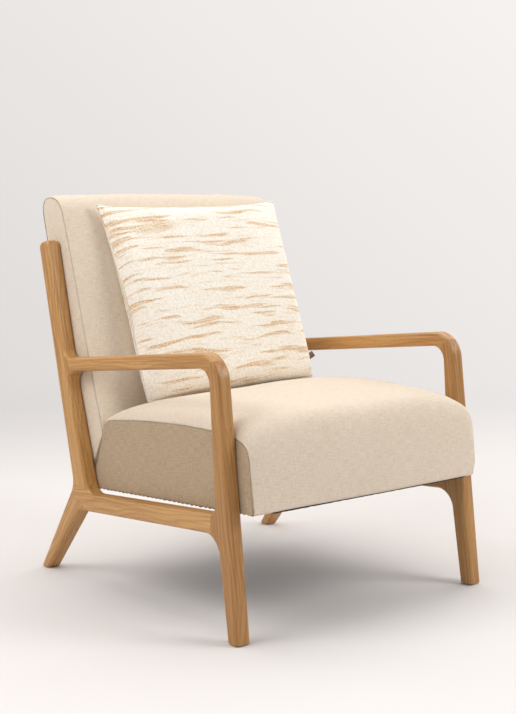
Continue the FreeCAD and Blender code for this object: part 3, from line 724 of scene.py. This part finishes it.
backSetup = {
    "half": 0.3035,
    "rows": 230,
    "stitchInset": 0.0055,
    "stitchDip": 0.0005,
    "unevenness": 0.0024,
    "seed": 9.1,
    "rightRise": 0.0,
    "rearShare": lambda spot: 0.0,
    "flare": lambda spot, s: 0.0,
    "fullness": 4.0,
    # seam as (y, z), from the lower edge up the front, over the top and down the rear
    "seam": [(0.190, 0.231), (0.160, 0.290), (0.139, 0.331), (0.1425, 0.346), (0.155, 0.382),
             (0.170, 0.424), (0.1945, 0.498), (0.2235, 0.586), (0.2555, 0.685), (0.2785, 0.751),
             (0.2985, 0.803), (0.3080, 0.823), (0.3210, 0.8365), (0.340, 0.8440), (0.358, 0.8455),
             (0.374, 0.8420), (0.384, 0.8320), (0.3870, 0.820), (0.3840, 0.803), (0.3755, 0.772),
             (0.3665, 0.743), (0.2995, 0.512), (0.219, 0.231)],
    "crown": [(0.190, 0.231), (0.158, 0.289), (0.1345, 0.330), (0.1345, 0.346), (0.1455, 0.385),
              (0.159, 0.428), (0.1820, 0.502), (0.2110, 0.590), (0.2435, 0.689), (0.2675, 0.755),
              (0.2900, 0.808), (0.3015, 0.8285), (0.3165, 0.8430), (0.338, 0.8515), (0.358, 0.8540),
              (0.377, 0.8500), (0.3890, 0.8375), (0.3915, 0.821), (0.3885, 0.802), (0.3795, 0.771),
              (0.3705, 0.742), (0.3035, 0.511), (0.2215, 0.230)],
}


def backPoint(x, y, z):
    return Vector((x, y, z))


backCover = sewnCover("back", backSetup, backPoint, slice(26, -8), Vector((0, 0.28, 0.55)),
                      ["back_cover_wrap", "back_foam", "back_wadding_top", "back_wadding_rear"])


def backSideChains(count):
    # matching points up the front seam and up the rear seam, as far as the top of the front curve
    seamLine = backSetup["seam"]
    top = seamLine.index(max(seamLine, key=lambda spot: spot[1]))
    front = seamLine[:top + 1]
    rear = seamLine[top:][::-1]
    return [[throughPoints(line, t) for t in evenSteps(line, count)[0]] for line in (front, rear)]


def backPanel(name, side):
    # rungs run from the front seam to the rear seam, with a groove along both
    front, rear = backSideChains(260)
    fine = len(edgeSteps)
    count = 26
    rows = []
    weave = []
    for k in range(2 * fine + count):
        row = []
        cloth = []
        for i, (a, b) in enumerate(zip(front, rear)):
            span = (b - a).length
            edge = [v * min(1.0, span / 0.03) for v in edgeSteps]
            if k < fine:
                away = edge[k]
            elif k >= fine + count:
                away = span - edge[2 * fine + count - 1 - k]
            else:
                away = edge[-1] + (span - 2 * edge[-1]) * (k - fine + 1) / (count + 1)
            spot = a.lerp(b, away / span if span > 1e-9 else 0.0)
            nearest = min(away, span - away, (len(front) - 1 - i) * 0.0024)
            groove = seamSetup["groove"] * bell(nearest, seamSetup["grooveWidth"])
            puff = seamSetup["puff"] * smoothStep(0.0, seamSetup["puffWidth"], nearest)
            ripple = noise.noise(Vector((spot[0] * 70, spot[1] * 70, 5.0 + side)))
            pucker = 0.0007 * math.exp(-nearest / 0.02) * ripple
            x = backSetup["half"] - groove + puff + pucker
            row.append(Vector((side * x, spot[0], spot[1])))
            cloth.append((spot[0], spot[1], seamShade(nearest)))
        rows.append(row)
        weave.append(cloth)
    return gridMesh(name, rows, weave, flip=side > 0)


for side, sideName in ((-1, "Left"), (1, "Right")):
    sewnPanel(backPanel("backPanel" + sideName, side), backPanelCloth, side)
print("back done")


# loose cushion

cushionSetup = {
    "flat": 0.500,
    "cells": 58,
    "loft": 0.022,
    "pressure": 4.0,
    "frames": 9,
    "clothWeight": 0.3,
    "stretchStiffness": 18,
    "shearStiffness": 6,
    "bendStiffness": 0.5,
    "cornerSpan": 0.468,
    "thickness": 0.132,
    "topSpread": 0.030,
    "leftSlump": 0.022,
    "bottomSag": 0.014,
    "middle": (0.006, 0.157, 0.6195),
    "lean": 23.6,
    "roll": -1.9,
    "turn": -6.5,
    "clearance": 0.0012,
    "weltRadius": 0.0021,
}

boucleLook = {
    "cream": rgb(253, 249, 240),
    "shade": rgb(240, 231, 215),
    "ochre": rgb(198, 143, 70),
    "tan": rgb(232, 200, 150),
    "roughness": 0.95,
    "pileDepth": 0.0016,
    # a denser patch of the pattern near the upper left corner, in cloth metres
    "patch": (-0.135, 0.165, 0.075, 0.024),
}


def boucle():
    look = boucleLook
    material, tree, shader = newMaterial("loopPile")
    place = clothPlace(tree)
    shift = add(tree, "ShaderNodeCombineXYZ")
    wander = minus(tree, cloud(tree, place, (6, 14, 0), 2.0), 0.5)
    wire(tree, times(tree, wander, 0.03), shift.inputs["Y"])
    drawn = moved(tree, place, shift.outputs[0])
    # long streaks across the cloth, each one made of thin broken lines of flecks
    broad = band(tree, cloud(tree, drawn, (6.5, 70, 0), 1.5, 0.4), 0.565, 0.655)
    second = band(tree, cloud(tree, moved(tree, drawn, (5.3, 2.9, 0)), (8, 88, 0), 1.5, 0.4), 0.60, 0.68)
    x, y, wide, tall = look["patch"]
    patch = farFrom(tree, scaled(tree, drawn, 1 / wide, 1 / tall, 0), (x / wide, y / tall, 0))
    patchMask = times(tree, minus(tree, 1.0, band(tree, patch, 0.3, 1.0)), 0.85)
    streak = maths(tree, "MAXIMUM", maths(tree, "MAXIMUM", broad, second), patchMask)
    lines = band(tree, cloud(tree, drawn, (24, 360, 0), 2.0), 0.40, 0.58)
    flecks = band(tree, cloud(tree, place, (260, 480, 0), 2.0, 0.6), 0.40, 0.58)
    broken = plus(tree, times(tree, lines, 0.7), 0.3)
    ochreMask = times(tree, times(tree, streak, broken), flecks)
    thin = band(tree, cloud(tree, moved(tree, drawn, (3.1, 7.7, 0)), (13, 165, 0), 1.0, 0.4), 0.60, 0.70)
    thinMask = times(tree, thin, flecks)
    # the looped pile itself, with painted shade in the hollows between the loops
    loops = add(tree, "ShaderNodeTexVoronoi", {"feature": "SMOOTH_F1"}, {"Scale": 1.0, "Smoothness": 0.6})
    wire(tree, scaled(tree, place, 330, 330, 0), loops.inputs["Vector"])
    loopHeight = minus(tree, 1.0, loops.outputs["Distance"])
    lumps = cloud(tree, place, (150, 150, 0), 2.0, 0.6)
    raised = band(tree, times(tree, loopHeight, lumps), 0.08, 0.36)
    colour = blendColour(tree, raised, look["shade"], look["cream"])
    colour = blendColour(tree, times(tree, thinMask, 0.55), colour, look["tan"])
    colour = blendColour(tree, times(tree, streak, 0.34), colour, look["tan"])
    colour = blendColour(tree, ochreMask, colour, look["ochre"])
    wire(tree, colour, shader.inputs["Base Color"])
    shader.inputs["Roughness"].default_value = look["roughness"]
    shader.inputs["Sheen Weight"].default_value = 0.25
    shader.inputs["Sheen Roughness"].default_value = 0.6
    shader.inputs["Specular IOR Level"].default_value = 0.12
    bump(tree, shader, plus(tree, times(tree, loopHeight, 0.5), lumps), 0.8, look["pileDepth"])
    return material


loopPile = boucle()


def pillowGrid(setup):
    # two square sheets that share their rim, with the middle a little apart; the rear sheet has
    # its own place in the cloth, beyond the front one
    n = setup["cells"]
    half = setup["flat"] / 2
    verts = []
    places = []
    index = {}
    for face in (-1, 1):
        for i in range(n + 1):
            for j in range(n + 1):
                rim = i in (0, n) or j in (0, n)
                if rim and face == 1:
                    index[face, i, j] = index[-1, i, j]
                    continue
                a = -1 + 2 * j / n
                b = -1 + 2 * i / n
                lift = 0.0 if rim else setup["loft"] * math.sqrt((1 - a * a) * (1 - b * b)) + 0.0015
                index[face, i, j] = len(verts)
                verts.append((a * half, face * lift, b * half))
                places.append((a * half if face < 0 else 1.7 - a * half, b * half, 0.0))
    faces = []
    for face in (-1, 1):
        for i in range(n):
            for j in range(n):
                ring = [index[face, i + di, j + dj] for di, dj in ((0, 0), (0, 1), (1, 1), (1, 0))]
                faces.append(ring if face < 0 else ring[::-1])
    rimLoop = [index[-1, 0, j] for j in range(n)] + [index[-1, i, n] for i in range(n)]
    rimLoop += [index[-1, n, j] for j in range(n, 0, -1)] + [index[-1, i, 0] for i in range(n, 0, -1)]
    return verts, faces, places, rimLoop


def inflate(piece, setup):
    cloth = piece.modifiers.new("filling", "CLOTH")
    cloth.settings.quality = 7
    cloth.settings.mass = setup["clothWeight"]
    cloth.settings.tension_stiffness = setup["stretchStiffness"]
    cloth.settings.compression_stiffness = setup["stretchStiffness"]
    cloth.settings.shear_stiffness = setup["shearStiffness"]
    cloth.settings.bending_stiffness = setup["bendStiffness"]
    cloth.settings.use_pressure = True
    cloth.settings.uniform_pressure_force = setup["pressure"]
    cloth.settings.effector_weights.gravity = 0
    cloth.collision_settings.use_collision = False
    cloth.point_cache.frame_start = 1
    cloth.point_cache.frame_end = setup["frames"]
    for frameNumber in range(1, setup["frames"] + 1):
        scene.frame_set(frameNumber)
    view = bpy.context.evaluated_depsgraph_get()
    shaped = piece.evaluated_get(view).to_mesh()
    spots = [v.co.copy() for v in shaped.vertices]
    piece.evaluated_get(view).to_mesh_clear()
    piece.modifiers.remove(cloth)
    scene.frame_set(1)
    for vertex, spot in zip(piece.data.vertices, spots):
        vertex.co = spot


def bringToSize(piece, corners, setup):
    # the filled cover gets its own size: a little wider at the top, and taller on the left,
    # where it has slumped
    wide = ((corners[1] - corners[0]).length + (corners[2] - corners[3]).length) / 2
    tall = ((corners[3] - corners[0]).length + (corners[2] - corners[1]).length) / 2
    depths = [v.co.y for v in piece.data.vertices]
    deep = max(depths) - min(depths)
    centre = sum(corners, Vector()) / 4
    print("cushion before sizing", round(wide, 4), round(tall, 4), round(deep, 4))
    for vertex in piece.data.vertices:
        spot = vertex.co - centre
        a = spot.x / wide * 2
        b = spot.z / tall * 2
        sag = setup["bottomSag"] * max(0.0, 1 - a * a) * smoothStep(0.35, 1.0, -b)
        vertex.co = Vector((spot.x * setup["cornerSpan"] / wide * (1 + setup["topSpread"] * b),
                            spot.y * setup["thickness"] / deep,
                            spot.z * setup["cornerSpan"] / tall * (1 - setup["leftSlump"] * a) - sag))


def clearOf(piece, others, clearance):
    # push the piece's points out of its neighbours, then ease the dents
    trees = []
    for other, outward in others:
        mesh = other.data
        tree = BVHTree.FromPolygons([v.co for v in mesh.vertices], [p.vertices for p in mesh.polygons])
        trees.append((tree, Vector(outward)))
    neighbours = [[] for v in piece.data.vertices]
    for edge in piece.data.edges:
        a, b = edge.vertices
        neighbours[a].append(b)
        neighbours[b].append(a)
    spots = [v.co.copy() for v in piece.data.vertices]

    def push():
        pushed = set()
        for i, spot in enumerate(spots):
            for tree, outward in trees:
                place, normal, face, distance = tree.find_nearest(spot, 0.06)
                if place is None or abs(normal.dot(outward)) < 0.5:
                    continue
                if normal.dot(outward) < 0:
                    normal = -normal
                gap = (spot - place).dot(normal)
                if gap < clearance:
                    spots[i] = spot + normal * (clearance - gap)
                    spot = spots[i]
                    pushed.add(i)
        return pushed

    touched = push()
    print(piece.name, "points pushed clear:", len(touched))
    for again in range(6):
        ring = set(touched)
        for i in touched:
            ring.update(neighbours[i])
        eased = {}
        for i in ring:
            around = sum((spots[k] for k in neighbours[i]), Vector()) / len(neighbours[i])
            eased[i] = spots[i].lerp(around, 0.5)
        for i, spot in eased.items():
            spots[i] = spot
        touched = ring | push()
    for vertex, spot in zip(piece.data.vertices, spots):
        vertex.co = spot


verts, faces, places, rimLoop = pillowGrid(cushionSetup)
cushion = meshPiece("cushion", verts, faces)
inflate(cushion, cushionSetup)
print("cushion filled")

corners = [cushion.data.vertices[rimLoop[k * cushionSetup["cells"]]].co.copy() for k in range(4)]
bringToSize(cushion, corners, cushionSetup)
turnAll = (Matrix.Rotation(math.radians(cushionSetup["turn"]), 4, "Z")
           @ Matrix.Rotation(math.radians(cushionSetup["roll"]), 4, "Y")
           @ Matrix.Rotation(math.radians(-cushionSetup["lean"]), 4, "X"))
cushion.data.transform(Matrix.Translation(cushionSetup["middle"]) @ turnAll)
clearOf(cushion, [(backCover, (0, -0.92, 0.38)), (seatCover, (0, 0.07, 1))],
        cushionSetup["clearance"] + cushionSetup["weltRadius"] * 0.4)
layCloth(cushion, places)
cushion.data.update()
rimPoints = [cushion.data.vertices[i].co.copy() for i in rimLoop]
smoother(cushion)
cushion.data.materials.append(loopPile)
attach(cushion, "cushion")
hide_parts("cushion_cover_front", "cushion_cover_back", "cushion_insert")


def closedTube(name, points, radius, sides, seed):
    # a soft cord around a closed loop of points
    count = len(points)
    middle = sum(points, Vector()) / count
    verts = []
    places = []
    run = 0.0
    for i, point in enumerate(points):
        along = (points[(i + 1) % count] - points[i - 1]).normalized()
        outward = point - middle
        outward = (outward - along * outward.dot(along)).normalized()
        up = along.cross(outward)
        size = radius * (1 + 0.18 * noise.noise(point * 120 + Vector((seed, 0, 0))))
        for k in range(sides):
            angle = 2 * math.pi * k / sides
            verts.append(point + (outward * math.cos(angle) + up * math.sin(angle)) * size)
            places.append((run, k * 0.002, 0.0))
        run += (points[(i + 1) % count] - point).length
    faces = []
    for i in range(count):
        for k in range(sides):
            a = i * sides + k
            b = i * sides + (k + 1) % sides
            c = ((i + 1) % count) * sides
            faces.append((a, b, c + (k + 1) % sides, c + k))
    piece = meshPiece(name, verts, faces)
    layCloth(piece, places)
    return piece


welt = closedTube("cushionWelt", rimPoints, cushionSetup["weltRadius"], 8, 3.0)
welt.data.materials.append(loopPile)
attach(welt, "cushion")
print("cushion done")


# leather tab on the cushion's seam

tabSetup = {
    "wide": 0.014,
    "long": 0.021,
    "thick": 0.0014,
    "gap": 0.0012,
    "sewnIn": 0.004,
    "alongSide": 0.115,
    "rise": 22.0,
}


def tabLeather():
    material, tree, shader = newMaterial("tabLeather")
    grain = cloud(tree, ownPlace(tree), (1400, 1400, 1400), 2.0)
    tone = cloud(tree, ownPlace(tree), (160, 160, 160), 2.0)
    wire(tree, blendColour(tree, tone, rgb(84, 58, 42), rgb(122, 88, 64)), shader.inputs["Base Color"])
    shader.inputs["Roughness"].default_value = 0.6
    bump(tree, shader, grain, 0.4, 0.0003)
    return material


def foldedTab(setup, root, out, across):
    # a strip folded over on itself, both ends sewn into the seam
    through = out.cross(across).normalized()
    bend = (setup["gap"] + setup["thick"]) / 2
    halfway = root + out * (setup["long"] * 0.5)
    sewn = root - out * setup["sewnIn"]
    line = [sewn + through * bend, halfway + through * (bend * 1.25)]
    for i in range(9):
        angle = math.pi * i / 8
        reach = setup["long"] - bend + math.sin(angle) * bend
        line.append(root + out * reach + through * math.cos(angle) * bend)
    line += [halfway - through * (bend * 1.1), sewn - through * bend]
    rows = []
    for share in (-0.5, -0.46, -0.2, 0.2, 0.46, 0.5):
        inward = 0.0006 if abs(share) > 0.48 else 0.0
        rows.append([p + across * (setup["wide"] * share) - out * inward for p in line])
    weave = [[(0.0, 0.0, 0.0)] * len(line)] * len(rows)
    piece = thicken(gridMesh("cushionTab", rows, weave), setup["thick"], 0.0)
    smoother(piece)
    return piece


# the right-hand seam, a little above its lower corner
cells = cushionSetup["cells"]
atCell = cells + int(round(cells * tabSetup["alongSide"]))
alongSeam = (rimPoints[atCell + 2] - rimPoints[atCell - 2]).normalized()
outward = (turnAll @ Vector((1, 0, 0, 0))).to_3d()
outward = (outward - alongSeam * outward.dot(alongSeam)).normalized()
cushionBack = (turnAll @ Vector((0, 1, 0, 0))).to_3d()
tilt = Matrix.Rotation(math.radians(-tabSetup["rise"]), 4, cushionBack)
tab = foldedTab(tabSetup, rimPoints[atCell], (tilt @ outward).normalized(), (tilt @ alongSeam).normalized())
tab.data.materials.append(tabLeather())
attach(tab, "cushion")
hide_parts("cushion_tab")
print("tab done")


# dust cover under the seat

dustSetup = {
    "half": 0.296,
    "front": 0.004,
    "rear": 0.556,
    "under": -0.0016,
    "sag": 0.004,
    "thick": 0.0006,
    "lipFrom": -0.90,
    "lipTo": 0.98,
    # section through the folded front edge, as (along the underside, up from it)
    "lip": [(0.0, 0.0), (-0.0016, -0.0006), (-0.0024, -0.0022), (-0.0018, -0.0038), (0.0, -0.0044),
            (0.012, -0.0040), (0.0135, -0.0026), (0.012, 0.0)],
}


def dustCloth():
    material, tree, shader = newMaterial("dustCloth")
    felt = cloud(tree, ownPlace(tree), (800, 800, 800), 2.0)
    colour = blendColour(tree, felt, (0.012, 0.012, 0.013), (0.035, 0.034, 0.033))
    wire(tree, colour, shader.inputs["Base Color"])
    shader.inputs["Roughness"].default_value = 0.9
    bump(tree, shader, felt, 0.3, 0.0003)
    return material


def dustSheet(setup):
    rows = []
    weave = []
    for i in range(57):
        f = i / 56
        u = setup["front"] + (setup["rear"] - setup["front"]) * f
        row = []
        cloth = []
        for j in range(65):
            s = -1 + 2 * j / 64
            sag = setup["sag"] * (1 - s * s) * math.sin(math.pi * f)
            ripple = 0.0007 * noise.noise(Vector((s * 9, f * 14, 1.0))) * math.sin(math.pi * f)
            row.append(seatPoint(s * setup["half"], u, setup["under"] - sag + ripple))
            cloth.append((s * setup["half"], u, 0.0))
        rows.append(row)
        weave.append(cloth)
    return thicken(gridMesh("dustCover", rows, weave, flip=True), setup["thick"])


def dustFold(setup):
    # the front edge is folded over and tacked, a thin dark lip under the front panel
    rows = []
    weave = []
    for j in range(121):
        s = setup["lipFrom"] + (setup["lipTo"] - setup["lipFrom"]) * j / 120
        tack = 0.0005 * noise.noise(Vector((s * 24, 0.0, 4.0)))
        grow = smoothStep(setup["lipFrom"], setup["lipFrom"] + 0.06, s)
        grow *= 1 - smoothStep(setup["lipTo"] - 0.025, setup["lipTo"], s)
        ring = []
        for a, b in setup["lip"]:
            up = setup["under"] + 0.0008 + (b + tack) * grow * 1.15
            ring.append(seatPoint(s * setup["half"], 0.0034 + a * grow, up))
        rows.append(ring + [ring[0]])
        weave.append([(s * setup["half"], 0.0, 0.0)] * len(rows[0]))
    fold = gridMesh("dustLip", rows, weave)
    welded = bmesh.new()
    welded.from_mesh(fold.data)
    bmesh.ops.remove_doubles(welded, verts=welded.verts, dist=0.00001)
    bmesh.ops.holes_fill(welded, edges=[e for e in welded.edges if e.is_boundary], sides=0)
    bmesh.ops.recalc_face_normals(welded, faces=welded.faces)
    welded.to_mesh(fold.data)
    welded.free()
    return fold


dustCover = dustSheet(dustSetup)
dustLip = dustFold(dustSetup)
blackCloth = dustCloth()
for piece in (dustCover, dustLip):
    piece.data.materials.append(blackCloth)
    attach(piece, "chair")
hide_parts("seat_dust_cover")
print("dust cover done")


# parts inside and underneath keep their shapes and get their own finishes, each as two tones
# that fine marks mix, a roughness and the marks' scale

def plain(name, low, high, roughness, grain, metallic=0.0, depth=0.0003, along=1):
    material, tree, shader = newMaterial(name)
    marks = cloud(tree, ownPlace(tree), (grain * along, grain, grain))
    wire(tree, blendColour(tree, marks, low, high), shader.inputs["Base Color"])
    wire(tree, plus(tree, times(tree, marks, 0.2), roughness - 0.1), shader.inputs["Roughness"])
    shader.inputs["Metallic"].default_value = metallic
    bump(tree, shader, marks, 0.3, depth)
    return material


timber = plain("roughTimber", rgb(170, 140, 98), rgb(206, 178, 136), 0.75, 260, along=0.06)
dowelWood = plain("dowelWood", rgb(176, 146, 108), rgb(208, 182, 144), 0.7, 600)
zinc = plain("zincSteel", (0.42, 0.43, 0.45), (0.58, 0.59, 0.61), 0.34, 700, 1.0, 0.0001)
springSteel = plain("springSteel", (0.16, 0.16, 0.17), (0.28, 0.28, 0.29), 0.42, 500, 1.0, 0.0001)
spacerTube = plain("spacerTube", (0.018, 0.018, 0.018), (0.035, 0.035, 0.035), 0.5, 500)
feltPad = plain("feltPad", (0.07, 0.065, 0.06), (0.13, 0.12, 0.11), 0.95, 500)
jute = plain("juteStrap", rgb(128, 100, 66), rgb(166, 136, 96), 0.95, 700)
glidePlastic = plain("glidePlastic", (0.02, 0.018, 0.016), (0.045, 0.04, 0.036), 0.6, 700)
finishes = {
    timber: ["seat_frame_front", "seat_frame_rear", "seat_frame_left", "seat_frame_right",
             "back_frame_left", "back_frame_right", "back_frame_top", "back_frame_bottom",
             "seat_corner_blocks"],
    dowelWood: ["frame_dowels_left", "frame_dowels_right"],
    zinc: ["threaded_inserts", "side_bolts", "bolt_washers", "unit_bolts", "unit_nuts", "spring_clips"],
    springSteel: ["seat_springs"],
    spacerTube: ["spacer_tubes"],
    feltPad: ["seat_spring_pad"],
    jute: ["back_webbing"],
    glidePlastic: ["foot_glides"],
}
for material, names in finishes.items():
    for name in names:
        dress(name, material)
print("inside parts done")


# camera, light and floor

cameraSetup = {
    "place": (-1.851, -2.320, 0.841),
    "azimuth": -38.91,
    "lookDown": 3.86,
    "lens": 67.21,
    "shiftY": -0.0938,
}


def setCamera():
    data = bpy.data.cameras.new("camera")
    data.lens = cameraSetup["lens"]
    data.sensor_width = 36.0
    data.shift_y = cameraSetup["shiftY"]
    data.clip_end = 200
    eye = bpy.data.objects.new("camera", data)
    eye.location = cameraSetup["place"]
    eye.rotation_euler = (math.radians(90 - cameraSetup["lookDown"]), 0, math.radians(cameraSetup["azimuth"]))
    scene.collection.objects.link(eye)
    scene.camera = eye


lightSetup = [
    # name, place, size, watts, colour
    ("keyBox", (1.9, -2.6, 2.5), 1.8, 54, (1.0, 0.975, 0.94)),
    ("leftHighBox", (-2.4, 0.4, 2.6), 1.8, 40, (1.0, 0.98, 0.955)),
    ("topBox", (0.0, 0.4, 3.2), 2.6, 19, (1.0, 0.99, 0.98)),
    ("rightBox", (2.9, 0.2, 1.6), 2.2, 18, (1.0, 0.99, 0.98)),
    ("fillBox", (-2.8, -1.4, 1.6), 2.4, 13, (0.99, 0.99, 1.0)),
    ("rearBox", (-1.6, 2.6, 2.6), 2.2, 10, (1.0, 0.99, 0.98)),
]
lightAim = (0.0, 0.0, 0.45)

studioSetup = {
    "floorRadius": 9.0,
    "fadeFrom": 1.1,
    "fadeTo": 3.4,
    "behind": (0.628, 0.778, 0),
    "right": (0.778, -0.628, 0),
    "front": 0.35,
    "rear": 0.80,
    "higher": 0.30,
    "sideways": 0.25,
    "tint": (1.035, 1.0, 0.983),
}


def setLights():
    for name, place, size, watts, colour in lightSetup:
        data = bpy.data.lights.new(name, "AREA")
        data.shape = "DISK"
        data.size = size
        data.energy = watts
        data.color = colour
        lamp = bpy.data.objects.new(name, data)
        lamp.location = place
        lamp.rotation_euler = (Vector(lightAim) - Vector(place)).to_track_quat("-Z", "Y").to_euler()
        scene.collection.objects.link(lamp)
    scene.view_settings.view_transform = "Standard"


def setStudio():
    # a pale room, bright behind the chair and dimmer in front of it
    look = studioSetup
    world = bpy.data.worlds.new("studio")
    world.use_nodes = True
    tree = world.node_tree
    place = add(tree, "ShaderNodeTexCoord").outputs["Generated"]
    level = plus(tree, times(tree, facing(tree, place, (0, 0, 1)), look["higher"]), look["rear"])
    level = plus(tree, level, times(tree, facing(tree, place, look["right"]), look["sideways"]))
    share = band(tree, facing(tree, place, look["behind"]), -0.2, 0.6)
    value = plus(tree, times(tree, share, level), times(tree, minus(tree, 1.0, share), look["front"]))
    colour = blendColour(tree, 1.0, value, look["tint"], "MULTIPLY")
    wire(tree, colour, tree.nodes["Background"].inputs["Color"])
    scene.world = world


def setFloor():
    # a wide disc whose edge fades into the studio behind it
    mesh = bpy.data.meshes.new("floor")
    maker = bmesh.new()
    bmesh.ops.create_circle(maker, cap_ends=True, segments=96, radius=studioSetup["floorRadius"])
    maker.to_mesh(mesh)
    maker.free()
    floor = bpy.data.objects.new("floor", mesh)
    scene.collection.objects.link(floor)
    material, tree, shader = newMaterial("floorPaper")
    mottle = cloud(tree, ownPlace(tree), (3, 3, 3), 2.0)
    colour = blendColour(tree, mottle, (0.765, 0.745, 0.735), (0.785, 0.765, 0.755))
    wire(tree, colour, shader.inputs["Base Color"])
    shader.inputs["Roughness"].default_value = 0.9
    shader.inputs["Specular IOR Level"].default_value = 0.1
    away = farFrom(tree, ownPlace(tree), (0, 0, 0))
    wire(tree, minus(tree, 1.0, band(tree, away, studioSetup["fadeFrom"], studioSetup["fadeTo"])),
         shader.inputs["Alpha"])
    mesh.materials.append(material)


setCamera()
setLights()
setStudio()
setFloor()
print("studio done")
